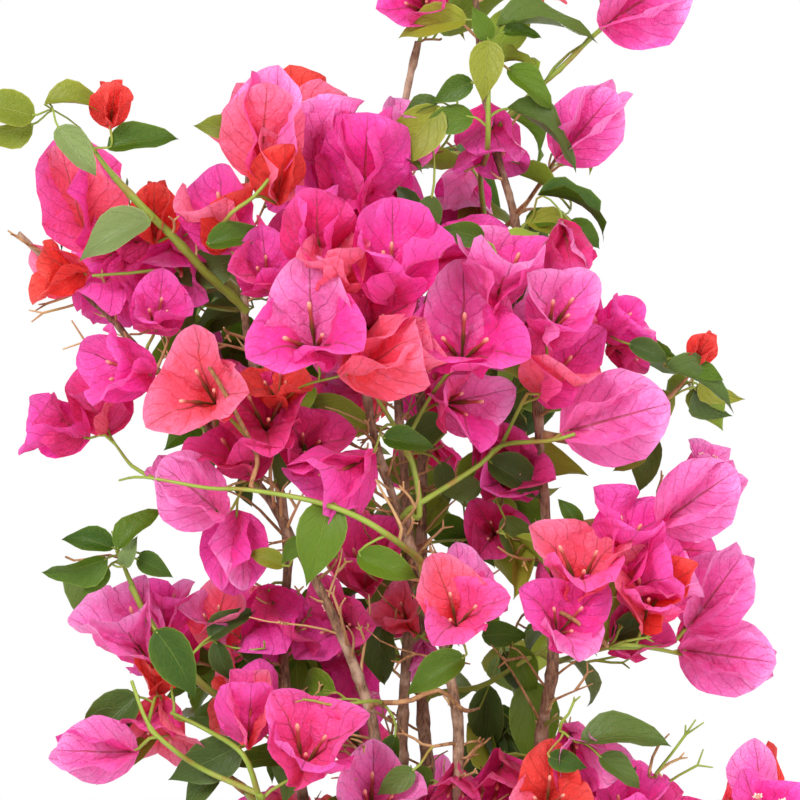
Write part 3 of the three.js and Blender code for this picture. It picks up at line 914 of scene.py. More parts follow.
# Foot across and up from the crown's middle and behind the front, mm; turn, lift and roll of
# the axis, degrees; size; a tint for each bract; how far it is open and the chance of an open
# star, where that isn't half open without one.
BLOOMS = [
    # upper left
    (-128, 66, 22, -30, 70, 180, 1.25, "coral magenta blush", "closed", 0),
    (-101, 67, 6, 15, 80, 180, 0.66, "red", "closed", 0),
    (-130, 53, 6, -75, 5, -60, 0.69, "red coral red"),
    (-113, 58, 22, -40, -60, 0, 0.86, "magenta"),
    (-105, 66, 26, -80, 10, -30, 0.77, "deep"),
    (-117, 113, 2, 10, 72, 180, 0.53, "red", "shut", 0),
    (-90, 68, 20, -30, -55, 0, 0.86, "magenta"),
    (-70, 64, 12, -30, 60, 30, 0.95, "magenta coral red"),
    # upper middle
    (-57, 94, 10, 15, 74, 180, 1.14, "coral pink blush", "closed", 0),
    (-50, 83, 4, 12, 72, 180, 0.78, "red red coral", "shut", 0),
    (-34, 100, 24, 20, 80, 0, 0.86, "pink"),
    (-15, 80, 8, 10, 80, 180, 1.15, "magenta", "shut", 0),
    (-27, 74, 14, -15, 80, 150, 1, "magenta deep magenta", "shut", 0),
    (-33, 55, 12, 0, 78, 60, 0.99, "magenta deep magenta", "shut", 0),
    (-23, 46, 14, -20, 60, 20, 0.73, "coral"),
    (-17, 85, 10, 60, -50, 0, 0.69, "magenta"),
    (-4, 44, 10, 15, 60, 120, 1.04, "magenta"),
    # the middle
    (-34, 22, 18, -10, 30, 5, 1.04, "pink magenta magenta", "flared", 0),
    (-75, 0, 20, -20, 22, 15, 0.93, "coral", "flared", 0),
    (-21, 13, 8, 70, 22, 90, 1.08, "coral", "shut", 0),
    (-49, -1, 10, -10, 60, 0, 0.6, "red", "open", 0),
    (25, 17, 18, 5, 36, -5, 1.12, "pink magenta magenta", "flared", 0),
    (39, 40, 20, 14, 64, 170, 1.0, "pink magenta pink"),
    (84, 28, 12, 55, 32, 60, 0.6, "magenta"),
    (60, 28, 18, 25, 40, 60, 0.84, "pink magenta"),
    (87, 23, 24, 60, -20, 0, 0.52, "deep"),
    (58, 4, 10, 30, 45, 180, 0.95, "coral magenta blush"),
    (69, -11, 6, 78, 16, 90, 1.16, "pink", "closed", 0),
    (-13, -22, 14, -60, -30, -60, 1.02, "magenta"),
    (-74, -44, 8, -62, 35, -90, 0.98, "pink", "closed", 0),
    (-62, -29, 26, -20, 60, 0, 0.9, "deep", "open", 0),
    (-55, -12, 26, 0, 40, 60, 0.86, "deep", "open", 0),
    (10, -15, 30, 10, -50, 0, 0.82, "deep"),
    (42, -12, 30, 0, -40, 30, 0.77, "deep magenta"),
    (43, -38, 26, 10, 30, 0, 0.82, "deep magenta deep"),
    # the top
    (67, 73, 0, 20, -62, 150, 0.66, "deep pink deep", "shut", 0),
    (67, 102, 6, 75, 48, 90, 1.04, "pink", "closed", 0),
    (86, 156, 2, 70, 28, 90, 1.12, "pink", "closed", 0),
    (12, 160, 14, -20, 20, 0, 0.74, "deep magenta deep"),
    (36, 121, 27, 20, -70, 0, 0.86, "magenta"),
    (29, 97, 27, -20, -66, 60, 0.8, "pink magenta pink"),
    # right
    (121, 17, 4, 50, 50, 120, 0.42, "red", "closed", 0),
    (108, -48, 4, 80, 34, 90, 1, "pink", "closed", 0),
    (124, -33, 4, 40, 60, 150, 0.5, "pink", "half", 1),
    (73, -76, 12, 0, 50, 58, 0.95, "coral blush coral", "flared", 0),
    (88, -66, 18, 40, 60, 150, 0.9, "magenta"),
    (92, -77, 14, 72, 28, 100, 0.9, "magenta pink"),
    (100, -89, 12, 12, 48, 45, 0.9, "coral blush red"),
    (64, -94, -5, 15, 32, 60, 0.85, "magenta pink magenta", "flared", 0),
    (121, -92, 2, 82, 54, 90, 0.98, "pink", "closed", 0),
    (119, -104, 2, 84, -8, 90, 1.04, "pink", "closed", 0),
    (23, -90, 10, 0, 34, 28, 0.84, "coral blush blush", "flared", 0),
    (4, -97, 20, -30, 40, 0, 0.6, "coral"),
    # left
    (-131, -15, 6, -75, 22, -50, 0.76, "deep magenta magenta", "half", 0.4),
    (-121, -12, 8, -35, 70, 180, 0.8, "deep coral deep"),
    (-102, 12, 10, -60, 12, -40, 0.8, "magenta"),
    (-100, 30, 16, 10, 40, 0, 0.69, "magenta"),
    (-67, -47, 10, -10, -75, 180, 0.86, "magenta pink", "closed", 0),
    (-75, -101, 18, -10, 60, 0, 0.75, "coral pink coral"),
    (-55, -80, 18, 20, -70, 180, 0.95, "magenta deep"),
    (-105, -106, 20, -59, 54, 120, 0.95, "pink"),
    (-98, -97, 28, 0, 78, 180, 0.72, "magenta pink"),
    (-101, -121, 4, 15, 70, 150, 0.58, "red"),
    (-99, -124, 10, -20, -65, 0, 0.82, "deep coral coral", "open", 0),
    (-110, -143, 4, -82, 4, -90, 0.9, "pink magenta pink", "closed", 0),
    # low
    (-62, -138, 8, 5, 70, 180, 0.85, "magenta coral blush", "shut", 0),
    (-40, -150, 10, 15, 42, 40, 1.06, "blush magenta blush"),
    (-21, -96, 18, -25, 12, 20, 0.82, "deep magenta deep", "flared", 0.6),
    (-22, -116, 16, 0, -60, 180, 0.86, "magenta"),
    (-15, -80, 26, 0, 60, 60, 0.95, "deep"),
    (-12, -172, 10, 10, 45, 0, 0.99, "pink"),
    (60, -166, 8, 0, 34, 0, 0.76, "red coral red", "flared", 0),
    (92, -180, 10, 0, 70, 150, 0.9, "magenta"),
    (150, -180, 6, 5, 48, 30, 0.8, "magenta", "flared", 1),
    (43, -150, 22, 0, -40, 20, 0.95, "deep magenta deep"),
    (70, -136, 20, 20, -30, 40, 0.82, "pink magenta"),
    (10, -103, 22, 0, -60, 0, 0.5, "pink"),
    (24, -152, 26, -10, -40, 0, 0.62, "deep"),
    # seen dimly between the stems; the deep paint here is partly painted shade
    (-72, 56, 34, 0, 30, 0, 0.85, "deep"),
    (-54, 46, 28, 0, 40, 0, 0.8, "magenta deep magenta"),
    (-40, -22, 34, 10, 20, 40, 0.8, "deep"),
    (18, -2, 36, -10, 10, 0, 0.85, "deep magenta"),
    (40, -58, 30, 0, 10, 30, 0.72, "deep"),
    (92, -100, 26, 20, 20, 0, 0.7, "deep"),
    (-12, 30, 34, 0, 10, 60, 0.9, "deep"),
]

# Foot across, up and behind the front, mm; the way it points in the front view, degrees round
# from the right; how far its tip comes forward and its face turns up from the front, degrees;
# size; form; tint.
LEAVES = [
    # upper left spray
    (-149, 117, 4, 165, 10, 20, 0.75, "flat", "olive"),
    (-150, 113, 8, 195, 10, -30, 0.7, "folded", "olive"),
    (-142, 122, 2, 2, 10, 50, 0.85, "folded", "olive"),
    (-137, 111, -4, -52, 10, 20, 0.68, "folded", "pale"),
    (-117, 104, 2, 12, 10, 35, 0.78, "folded", "mid"),
    (-103, 74, -12, 197, 15, 30, 0.9, "folded", "pale"),
    (-66, 113, 4, 190, 10, 0, 0.5, "flat", "olive"),
    (-77, 65, -16, 12, 10, 30, 0.68, "folded", "mid"),
    (-70, 48, -6, 175, 5, 40, 0.72, "folded", "pale"),
    # the middle
    (-40, -5, -4, -22, 10, 0, 0.95, "flat", "olive"),
    (-29, -40, -2, 258, 10, 0, 0.95, "flat", "mid"),
    (-16, -61, 0, -22, 10, 10, 0.72, "folded", "mid"),
    (-40, -54, 2, 235, 0, 0, 0.38, "flat", "mid"),
    (-48, -66, 2, 150, 10, 20, 0.45, "folded", "olive"),
    (-6, -14, 2, -8, 5, 20, 0.6, "folded", "mid"),
    (30, -4, 22, -20, 0, 10, 0.8, "folded", "dark"),
    (18, -10, 20, 200, 0, 0, 0.7, "flat", "dark"),
    (44, -50, 14, -60, 0, 10, 0.8, "folded", "dark"),
    (30, -62, 16, 170, 0, 10, 0.7, "flat", "mid"),
    (-44, -14, 18, -100, 0, 10, 0.7, "flat", "dark"),
    (-70, 58, 20, 200, 0, 0, 0.8, "flat", "dark"),
    (88, -96, 14, 20, 0, 20, 0.7, "folded", "dark"),
    (-66, 36, 18, 188, 5, 20, 0.75, "folded", "dark"),
    (38, -126, 14, 262, 0, 20, 0.85, "folded", "dark"),
    (-8, -94, 20, 262, 0, 20, 0.8, "folded", "dark"),
    (17, -27, 12, -70, 0, 0, 0.45, "flat", "dark"),
    (33, -35, 8, 200, 0, 0, 0.5, "flat", "dark"),
    (38, -26, 10, -30, 5, 20, 0.85, "folded", "dark"),
    # left spray
    (-115, -59, 0, 47, 5, 50, 0.68, "folded", "mid"),
    (-118, -59, 2, 158, 5, 30, 0.6, "folded", "mid"),
    (-121, -64, 2, 200, 5, -30, 0.78, "folded", "mid"),
    (-107, -64, 0, -22, 5, 20, 0.45, "flat", "mid"),
    (-113, -66, -2, 60, 30, 0, 0.38, "folded", "pale"),
    (-120, -68, 4, 222, 10, 0, 0.42, "flat", "mid"),
    (-106, -62, 3, -40, 5, 10, 0.4, "folded", "mid"),
    # lower left
    (-99, -94, -4, -50, 10, 0, 0.86, "flat", "mid"),
    (-78, -97, 0, 35, 5, 30, 0.62, "folded", "dark"),
    (-76, -100, 2, -78, 5, 0, 0.5, "folded", "dark"),
    (-109, -122, -2, 218, 8, 20, 1.0, "folded", "dark"),
    (-83, -125, 6, 180, 5, 60, 0.6, "folded", "mid"),
    (-67, -142, 17, 208, 5, 0, 0.9, "flat", "dark"),
    (-70, -132, 0, 182, 5, 30, 0.5, "folded", "mid"),
    (-75, -154, 0, 215, 5, 20, 0.62, "folded", "dark"),
    # lower middle and right
    (25, -103, -4, 200, 10, 15, 0.75, "folded", "mid"),
    (36, -102, -4, 5, 10, 15, 0.55, "flat", "mid"),
    (49, -107, 0, -68, 5, 20, 0.65, "folded", "mid"),
    (45, -110, 6, -66, 0, 0, 0.6, "folded", "dark"),
    (75, -138, -2, 15, 8, 58, 1.0, "folded", "dark"),
    (82, -144, 0, -35, 8, 30, 0.6, "folded", "dark"),
    (74, -114, 4, -50, 5, 60, 0.65, "curled", "pale"),
    (61, -144, -2, -12, 10, 10, 0.45, "flat", "mid"),
    (5, -150, 6, 215, 5, 10, 0.5, "flat", "dark"),
    (-2, -138, 6, 250, 0, 40, 0.5, "folded", "mid"),
    # right
    (105, -16, 6, 250, 5, 20, 0.65, "folded", "dark"),
    (100, -17, 8, 225, 5, -20, 0.5, "folded", "olive"),
    (110, 14, 2, -21, 5, 50, 0.96, "folded", "dark"),
    (111, 18, 2, 150, 5, 20, 0.4, "folded", "mid"),
    (121, 14, 0, -10, 5, 20, 0.36, "flat", "mid"),
    (94, 24, 0, -20, 5, 20, 0.5, "folded", "dark"),
    (73, -50, 8, 120, 5, 20, 0.4, "folded", "mid"),
    # the top
    (59, 85, 0, -4, 5, 62, 0.95, "curled", "mid"),
    (54, 74, 6, -18, 5, 35, 0.85, "folded", "olive"),
    (53, 74, 6, 8, 5, 20, 0.5, "folded", "mid"),
    (71, 74, 12, -40, 0, 20, 0.5, "folded", "mid"),
    (46, 120, -4, -28, 5, 60, 1.05, "folded", "dark"),
    (45, 136, -4, -38, 5, 30, 0.7, "folded", "mid"),
    (36, 147, -6, 266, 15, 0, 0.68, "flat", "olive"),
    (36, 149, -4, 110, 20, 0, 0.42, "flat", "mid"),
    (43, 152, -2, 0, 5, 30, 0.45, "folded", "mid"),
    (42, 155, 0, 6, 5, 56, 1.15, "folded", "dark"),
    (26, 157, -2, 186, 5, 20, 0.8, "folded", "olive"),
    (29, 131, 0, 200, 5, 10, 0.5, "flat", "mid"),
    (15, 120, 2, 236, 5, 0, 0.95, "flat", "olive"),
    (29, 117, 0, 190, 5, 20, 0.6, "flat", "mid"),
    (15, 123, 4, 190, 5, 30, 0.45, "folded", "dark"),
    (33, 67, -6, 160, 5, 0, 0.5, "flat", "mid"),
    (13, 84, 10, 260, 0, 0, 0.5, "flat", "dark"),
]

# Thick and thin end radius, mm; behind the front, mm; wood; points across and up, mm.
TWIGS = [
    (1.4, 0.8, -4, "green", [(10, -40), (33, -26), (42, -18), (61, -15), (71, -12)]),
    (1.0, 0.7, 0, "green", [(42, -18), (52, 4), (57, 4)]),
    (1.5, 0.8, -4, "green", [(8, -46), (7, -33), (2, -17), (-12, 6)]),
    (1.1, 0.8, -2, "green", [(2, -17), (11, 0), (20, 14)]),
    (1.7, 0.5, -6, "green", [(8, -64), (-5, -52), (-18, -44), (-36, -38), (-62, -34), (-77, -33),
                             (-103, -29), (-114, -31)]),
    (0.9, 0.6, 2, "green", [(-101, -29), (-109, -25), (-118, -18), (-122, -14)]),
    (1.5, 1.0, 0, "green", [(38, -122), (53, -112), (66, -105)]),
    (1.6, 0.8, 2, "green", [(66, -113), (88, -99), (103, -101), (118, -106)]),
    (1.0, 0.7, 2, "green", [(88, -100), (110, -100), (119, -93)]),
    (1.8, 0.8, -4, "green", [(-58, -159), (-64, -142), (-80, -134), (-94, -127)]),
    (1.6, 0.8, -4, "green", [(-58, -159), (-80, -151), (-93, -141), (-103, -131), (-110, -114)]),
    (1.0, 0.7, -3, "green", [(-103, -131), (-101, -122)]),
    (1.4, 0.8, -6, "green", [(-81, 53), (-71, 74), (-59, 84), (-53, 91)]),
    (1.3, 0.6, -4, "green", [(-69, 37), (-85, 40), (-97, 53), (-111, 53), (-126, 52)]),
    (1.2, 0.7, 0, "wood", [(48, 75), (59, 90), (65, 101)]),
    (1.3, 1.1, -4, "green", [(37, 69), (34, 92), (36, 105), (36, 129), (36, 148)]),
    (1.1, 0.6, 4, "wood", [(-58, -20), (-76, 14), (-100, 34), (-116, 46)]),
    (1.2, 0.5, 4, "wood", [(5, -122), (16, -118), (26, -126), (34, -134)]),
    (1.1, 0.5, 0, "wood", [(64, -84), (52, -94), (46, -112)]),
]

# Foot as for leaves; the way it points in the front view; length, mm; its wood.
STALKS = [
    (105, -152, 2, 55, 30, "green"), (109, -158, 4, 32, 23, "green"),
    (102, -151, 2, 72, 19, "wood"), (107, -151, 4, 30, 13, "dry"),
    (-131, 41, 6, 195, 26, "dry"), (-109, 18, 2, 162, 33, "dry"),
    (-147, 62, 4, 150, 20, "wood"), (0, -48, -4, 118, 22, "dry"),
    (9, -63, -2, 48, 20, "dry"), (-30, -122, -2, 165, 14, "green"),
    (8, -128, 4, 25, 14, "wood"), (9, -140, 6, 150, 12, "wood"),
    (66, -130, 0, 60, 14, "green"), (84, -113, 4, -5, 16, "green"),
    (86, -99, 4, 60, 10, "green"), (92, -97, 2, 10, 12, "green"),
    (-93, -128, 2, 95, 12, "green"), (66, 140, 2, 38, 18, "green"),
    (62, 92, 2, 48, 12, "wood"), (-90, 52, 0, 130, 14, "green"),
]


def in_front_view(way, forward):
    """A direction by its angle in the front view, tipped forward by so many degrees."""
    way, forward = math.radians(way), math.radians(forward)
    return Vector((math.cos(way) * math.cos(forward), -math.sin(forward),
                   math.sin(way) * math.cos(forward)))


def shown_discs():
    """What the named blooms and leaves cover in the front view: middles and radii."""
    found = []
    for x, up, _, turn, lift, _, size, *_ in BLOOMS:
        middle = hung(x, up, 0) + heading(turn, lift) * 16 * MM * size
        found.append((middle.x, middle.z, 18 * MM * size))
    for x, up, _, way, _, _, size, *_ in LEAVES:
        for share in (0.3, 0.7):
            middle = hung(x, up, 0) + in_front_view(way, 0) * LEAF_LENGTH * share * size
            found.append((middle.x, middle.z, 9 * MM * size))
    found = np.array(found)
    return found[:, :2], found[:, 2]


SHOWN, SHOWN_REACH = shown_discs()


def named_ends():
    """Every named bloom, leaf and stalk, as (foot, axis, thickness, wood, finishing call)."""
    for x, up, back, turn, lift, roll, size, tints, *how in BLOOMS:
        axis = heading(turn, lift)
        foot = hung(x, up, back)
        opening, stars = how or ("half", 0)
        yield foot, axis, 0.62, "green", (add_flower, foot, axis, roll, size, tints.split(),
                                          opening, stars)
    for x, up, back, way, forward, roll, size, form, tint in LEAVES:
        axis = in_front_view(way, forward)
        foot = hung(x, up, back)
        yield foot, axis, 0.5, "green", (add_leaf, foot, axis, heading(0, roll), size, form, tint)
    for x, up, back, way, length, kind in STALKS:
        axis = in_front_view(way, rng.uniform(-10, 25))
        foot = hung(x, up, back)
        yield foot, axis, 0.7, kind, (fork, foot, axis, length * MM, kind)


def fork(foot, axis, length, kind):
    """An old flower stalk: it ends in two or three bare prongs."""
    end = foot + axis * length * 0.7
    middle = foot + axis * length * 0.35 + any_way(0.8 * MM)
    strands[kind].append([(foot, 0.75 * MM), (middle, 0.6 * MM), (end, 0.6 * MM)])
    side = any_way()
    side = (side - axis * side.dot(axis)).normalized()
    for spread in (1, -1) if rng.random() < 0.6 else (1, -0.7, 0.1):
        way = (axis + side * spread * 0.8).normalized()
        reach = length * rng.uniform(0.18, 0.34)
        strands[kind].append([(end, 0.5 * MM), (end + way * reach, 0.32 * MM)])


def before_stems(point):
    """The point, brought forward of the stems where they stand, in the middle of the crown."""
    if abs(point.x) < STEM_SPREAD:
        point.y = min(point.y, STEM_FRONT)
    return point


def lay_twigs():
    """The twigs that are seen, each bending through its points from the wood behind it, where
    it starts as a fine point inside that wood."""
    for thick, thin, back, kind, points in TWIGS:
        path = [before_stems(hung(x, up, back)) for x, up in points]
        axis = (path[1] - path[0]).normalized()
        start, way, radius = wood.nearest(path[0], axis)
        path = rounded([*bent(start, way, path[0], axis, 4)[:-1], *path])
        last = len(path) - 1
        strand = [(point, (thick + (thin - thick) * k / last) * MM)
                  for k, point in enumerate(path)]
        strand[0] = (path[0], radius * MM)
        strands[kind].append(strand)
        wood.add(strand)


def slimness(bough):
    """How slim a bough's bark is beside its solid."""
    return 0.62 if bough == "bough_top_right" else 0.88


def carry_on():
    """Each bough runs on into its mass as a tapering shoot, for the twigs there to leave from.
    The top right one needs none: its flower's own stalk carries it on."""
    for bough in BOUGHS:
        if bough == "bough_top_right":
            continue
        point, radius = RUNS[bough][-1]
        radius *= slimness(bough)
        way = (point - RUNS[bough][-4][0]).normalized()
        rise = (way + UP * 0.25).normalized()
        shoot = bent(point, way, point + rise * 24 * MM, rise, 6)
        strand = [(p, radius * (0.95 - 0.68 * k / 6)) for k, p in enumerate(shoot)]
        strands["green" if bough in SHOOTS else "wood"].append(strand)
        wood.add(strand)


def rounded(points):
    """A smooth run through the points."""
    found = []
    for k in range(len(points) - 1):
        a, b = points[max(k - 1, 0)], points[k]
        c, d = points[k + 1], points[min(k + 2, len(points) - 1)]
        steps = max(1, int((c - b).length / (4 * MM)))
        for step in range(steps):
            t = step / steps
            found.append(0.5 * (2 * b + (c - a) * t + (2 * a - 5 * b + 4 * c - d) * t * t
                                + (3 * b - a - 3 * c + d) * t * t * t))
    return found + [points[-1]]


def grow_named():
    """Nearest the wood first, so that the farther ones can leave from their twigs."""
    ends = sorted(named_ends(), key=lambda end: wood.gap(end[0]))
    for foot, axis, thick, kind, (finish, *what) in ends:
        grow_to(foot, axis, thick * MM, kind)
        finish(*what)


# --- Filling the masses -----------------------------------------------------------------------

# Open sky seen from the front: middle across and up from the crown's middle, half sizes, mm.
WINDOWS = [(-110, -8, 8, 14), (-91, -66, 9, 24), (-60, -52, 9, 8), (82, -33, 18, 14),
           (13, -136, 7, 18), (102, -113, 16, 9), (53, 93, 9, 11), (-10, 128, 13, 6),
           (-84, 112, 12, 12), (-96, 96, 6, 10), (86, 16, 6, 8), (-150, -30, 10, 20),
           (78, 146, 24, 6), (98, 52, 8, 14), (120, -12, 10, 6), (-88, -160, 10, 8),
           (128, -136, 30, 18), (122, 60, 20, 30), (-138, -120, 18, 12), (82, -128, 10, 12),
           (124, -18, 14, 14), (100, 92, 12, 14), (82, 54, 6, 10), (-114, -36, 10, 12),
           (-122, -66, 8, 10), (4, -132, 6, 16), (62, 134, 8, 14), (-155, 100, 12, 8),
           (-118, 117, 12, 8), (-150, 98, 9, 12), (118, -158, 8, 8)]


def in_window(point, reach):
    x, up = point.x / MM, (point.z - CROWN_MIDDLE.z) / MM
    reach = reach / MM
    return any(abs(x - cx) < half_x + reach and abs(up - cup) < half_up + reach
               for cx, cup, half_x, half_up in WINDOWS)


def scattered(node, area):
    """Places spread evenly over a mass, one for each such area, each with its outward way."""
    middle, half = middle_and_half(node)
    count = max(3, round(area_of(half) / area))
    golden = math.pi * (3 - math.sqrt(5))
    start = rng.uniform(0, 6.28)
    for k in range(count):
        z = 1 - 2 * (k + 0.5) / count
        ring = math.sqrt(1 - z * z)
        d = Vector((ring * math.cos(golden * k + start), ring * math.sin(golden * k + start), z))
        d = (d + any_way(0.22)).normalized()
        reach = Vector([a * b for a, b in zip(d, half)]) * FILL_DEPTH * rng.uniform(0.9, 1.08)
        yield middle + reach, Vector([a / b for a, b in zip(d, half)]).normalized()


def crowded(place, room):
    return any((place - other).length < room for other in flower_places)


def in_outline(place, spill):
    """Whether a point lies on the named blooms and leaves in the front view, or less than spill
    off them.  Above and below what is named there is no such outline."""
    if abs(place.z - CROWN_MIDDLE.z) >= OUTLINE_REACH:
        return True
    lengths = np.hypot(SHOWN[:, 0] - place.x, SHOWN[:, 1] - place.z)
    return bool((lengths < SHOWN_REACH + spill).any())


def covered(place, reach, spill=3 * MM):
    """Whether something of this reach stays in the front view's outline all round."""
    return all(in_outline(place + Vector((math.cos(turn), 0, math.sin(turn))) * reach, spill)
               for turn in np.linspace(0, 2 * math.pi, 8, endpoint=False))


def tucked(place, reach):
    """The place, moved towards the middle of the nearest named bloom until it is covered, or
    None where it never is."""
    lengths = np.hypot(SHOWN[:, 0] - place.x, SHOWN[:, 1] - place.z)
    best = int(lengths.argmin())
    if lengths[best] > 40 * MM and not in_outline(place, 0):
        return None
    goal = Vector((SHOWN[best, 0], place.y, SHOWN[best, 1]))
    for share in (0.0, 0.35, 0.7, 1.0):
        tried = place.lerp(goal, share)
        if covered(tried, reach):
            return tried
    return None


def veils(place, room):
    """Whether something here would stand in front of a named flower."""
    return any(place.y < other.y + 14 * MM
               and math.hypot(place.x - other.x, place.z - other.z) < room
               for other in flower_places[:len(BLOOMS)])


# Leaf masses whose front leaves are all named above.
NAMED_LEAVES = ("upper_left_tip", "left_leaf_spray", "right_leaf_spray", "top_leaves",
                "upper_right_leaves")


def area_of(half):
    """The surface of an ellipsoid with these half sizes."""
    a, b, c = half
    return 4 * math.pi * (((a * b) ** 1.6 + (a * c) ** 1.6 + (b * c) ** 1.6) / 3) ** (1 / 1.6)


# The deep mixes carry painted shade as well as the darker colour of older bracts.
TINT_MIXES = [("magenta",), ("magenta",), ("blush",), ("blush", "magenta", "pink"),
              ("magenta", "magenta", "pink"), ("pink",),
              ("coral", "coral", "magenta"), ("deep",), ("deep", "magenta", "deep"),
              ("red", "coral", "coral"), ("coral",)]


def risen(outward, lift, stray):
    """An outward way, lifted a little and turned off its line."""
    return (outward + UP * lift + any_way(stray)).normalized()


def set_flower(place, axis, size, sink, outward, openings, leaf_counts):
    """A flower round this place, on a twig of its own with a leaf or two; returns the twig."""
    foot = place - axis * sink * MM * size
    strand = grow_to(foot, axis)
    add_flower(foot, axis, rng.uniform(0, 120), size, rng.choice(TINT_MIXES),
               rng.choice(openings))
    leafy(strand, rng.choice(leaf_counts), outward, ("mid", "fresh", "dark"), (0.5, 0.85))
    return strand


def set_spray(place, outward, fewest, most, tints, sizes):
    """A leafy twig that ends at this place."""
    strand = grow_to(place, risen(outward, 0.3, 0.4), 0.5 * MM)
    leafy(strand, rng.randint(fewest, most), outward, tints, sizes)


def fill_blooms(node):
    for place, outward in scattered(node, BLOOM_AREA):
        size = rng.uniform(0.68, 0.95)
        place = tucked(kept_in(place, 24 * MM), 17 * MM * size)
        if (place is None or crowded(place, 17 * MM) or veils(place, 26 * MM)
                or in_window(place, 14 * MM)):
            continue
        axis = risen(outward, 0.25, 0.35)
        strand = set_flower(place, axis, size, 13, outward, (
            "half", "half", "flared", "open", "wide", "shut", "closed"), (0, 1, 1, 2))
        if rng.random() < 0.25:
            fork(strand[-2][0], (axis + any_way(0.8)).normalized(), rng.uniform(9, 18) * MM,
                 rng.choice(("wood", "dry")))


def fill_leaves(node):
    for place, outward in scattered(node, SPRAY_AREA):
        if node in NAMED_LEAVES and outward.y < 0.25:
            continue
        place = tucked(kept_in(place, 16 * MM), 4 * MM)
        if place is None or in_window(place, 6 * MM) or veils(place, 20 * MM):
            continue
        set_spray(place, outward, 3, 5, ("mid", "fresh", "fresh", "dark", "olive"), (0.6, 1.05))


def crown_reach(height):
    """How far the masses reach at this height: their lowest and highest x and y."""
    sides = []
    for middle, half in MASSES:
        off = abs(height - middle.z) / half.z
        if off < 1:
            wide = math.sqrt(1 - off * off)
            sides.append((middle.x - half.x * wide, middle.x + half.x * wide,
                          middle.y - half.y * wide, middle.y + half.y * wide))
    if not sides:
        return None
    sides = np.array(sides)
    return sides[:, 0].min(), sides[:, 1].max(), sides[:, 2].min(), sides[:, 3].max()


def fill_depth():
    """Flowers and leaves in the crown's depth, between the front and the back masses."""
    blooms, sprays = INNER_BLOOMS, INNER_SPRAYS
    for _ in range(INNER_TRIES):
        height = rng.uniform(*INNER_HEIGHTS)
        reach = crown_reach(height)
        if reach is None:
            continue
        left, right, front, back = reach
        place = Vector((rng.uniform(left, right), rng.uniform(front + 30 * MM, back), height))
        middle = Vector(((left + right) / 2, (front + back) / 2, height))
        off = math.hypot((place.x - middle.x) / (right - left) * 2,
                         (place.y - middle.y) / (back - front) * 2)
        if not 0.4 < off < 0.98 or in_window(place, 12 * MM):
            continue
        outward = Vector((place.x - middle.x, place.y - middle.y, 6 * MM)).normalized()
        if blooms > 0 and covered(place, 13 * MM, MM) and not crowded(place, 25 * MM):
            size = rng.uniform(0.7, 0.95)
            set_flower(place, risen(outward, 0.2, 0.3), size, 12, outward,
                       ("half", "flared", "open", "shut", "closed"), (0, 1, 2))
            blooms -= 1
        elif sprays > 0 and covered(place, 6 * MM, MM) and wood.gap(place) > 9 * MM:
            set_spray(place, outward, 2, 4, ("mid", "fresh", "dark", "olive"), (0.55, 0.95))
            sprays -= 1


def add_spurs():
    """Thorns, and the bare stubs of old side twigs, up the stems inside the crown."""
    for name in STEMS + BOUGHS:
        run = RUNS[name]
        for k in range(3, len(run) - 2, 3):
            point, radius = run[k]
            if point.z < SPUR_HEIGHT or rng.random() < 0.25:
                continue
            way = (run[k + 1][0] - point).normalized()
            out = (across(way, rng.uniform(0, 360)) + way * rng.uniform(0.2, 0.9)).normalized()
            foot = point + out * radius * 0.6
            if rng.random() < 0.45:
                reach = rng.uniform(5, 9) * MM
                strands["dry"].append([(foot, 0.9 * MM), (foot + out * reach * 0.5, 0.5 * MM),
                                       (foot + (out + way * 0.25) * reach, 0.12 * MM)])
            else:
                kind = rng.choice(("dry", "wood", "wood"))
                reach = rng.uniform(9, 24) * MM
                if not in_window(foot + out * reach, -2 * MM):
                    fork(foot, out, reach, kind)


def add_clutter():
    """Bare grey-brown side twigs among the stems low in the crown, some of them forked."""
    for name in STEMS:
        run = RUNS[name]
        for k in range(2, len(run) - 2):
            point = run[k][0]
            low, high = CLUTTER_HEIGHTS
            if not low < (point.z - CROWN_MIDDLE.z) / MM < high or rng.random() < 0.2:
                continue
            way = (run[k + 1][0] - point).normalized()
            turn = rng.uniform(0, 360)
            out = (across(way, turn) + way * rng.uniform(0.3, 1.1)).normalized()
            out = (out + Vector((0, -0.5, 0))).normalized()
            end = point + out * (rng.uniform(14, 44) * MM)
            if in_window(end, -3 * MM) or not in_outline(end, 0):
                continue
            bend = bent(point, out, end, (out + any_way(0.5)).normalized(), 5, 0.06)
            thick = rng.uniform(0.55, 0.9) * MM
            kind = rng.choice(("wood", "wood", "dry", "dry"))
            strands[kind].append([(p, thick * (1 - 0.55 * i / 5)) for i, p in enumerate(bend)])
            if rng.random() < 0.7:
                foot = bend[rng.choice((2, 3))]
                fork(foot, (out + across(out, turn + 90)).normalized(),
                     rng.uniform(7, 16) * MM, kind)


# --- Making the plant -------------------------------------------------------------------------

def tubes(name, runs, material, sides):
    """Round tubes along strands of (point, radius), joined in one mesh."""
    curve = bpy.data.curves.new(name, "CURVE")
    curve.dimensions = "3D"
    curve.bevel_depth = 1.0
    curve.bevel_resolution = (sides - 4) // 2
    curve.use_fill_caps = True
    for run in runs:
        spline = curve.splines.new("POLY")
        spline.points.add(len(run) - 1)
        spline.points.foreach_set("co", [c for point, _ in run for c in (*point, 1.0)])
        spline.points.foreach_set("radius", [radius for _, radius in run])
    ob = bpy.data.objects.new(name + "_line", curve)
    link(ob)
    bpy.context.view_layer.update()
    mesh = bpy.data.meshes.new_from_object(
        ob.evaluated_get(bpy.context.evaluated_depsgraph_get()))
    bpy.data.objects.remove(ob)
    mesh.name = name
    mesh.materials.clear()
    mesh.materials.append(material)
    mesh.shade_smooth()
    return bpy.data.objects.new(name, mesh)


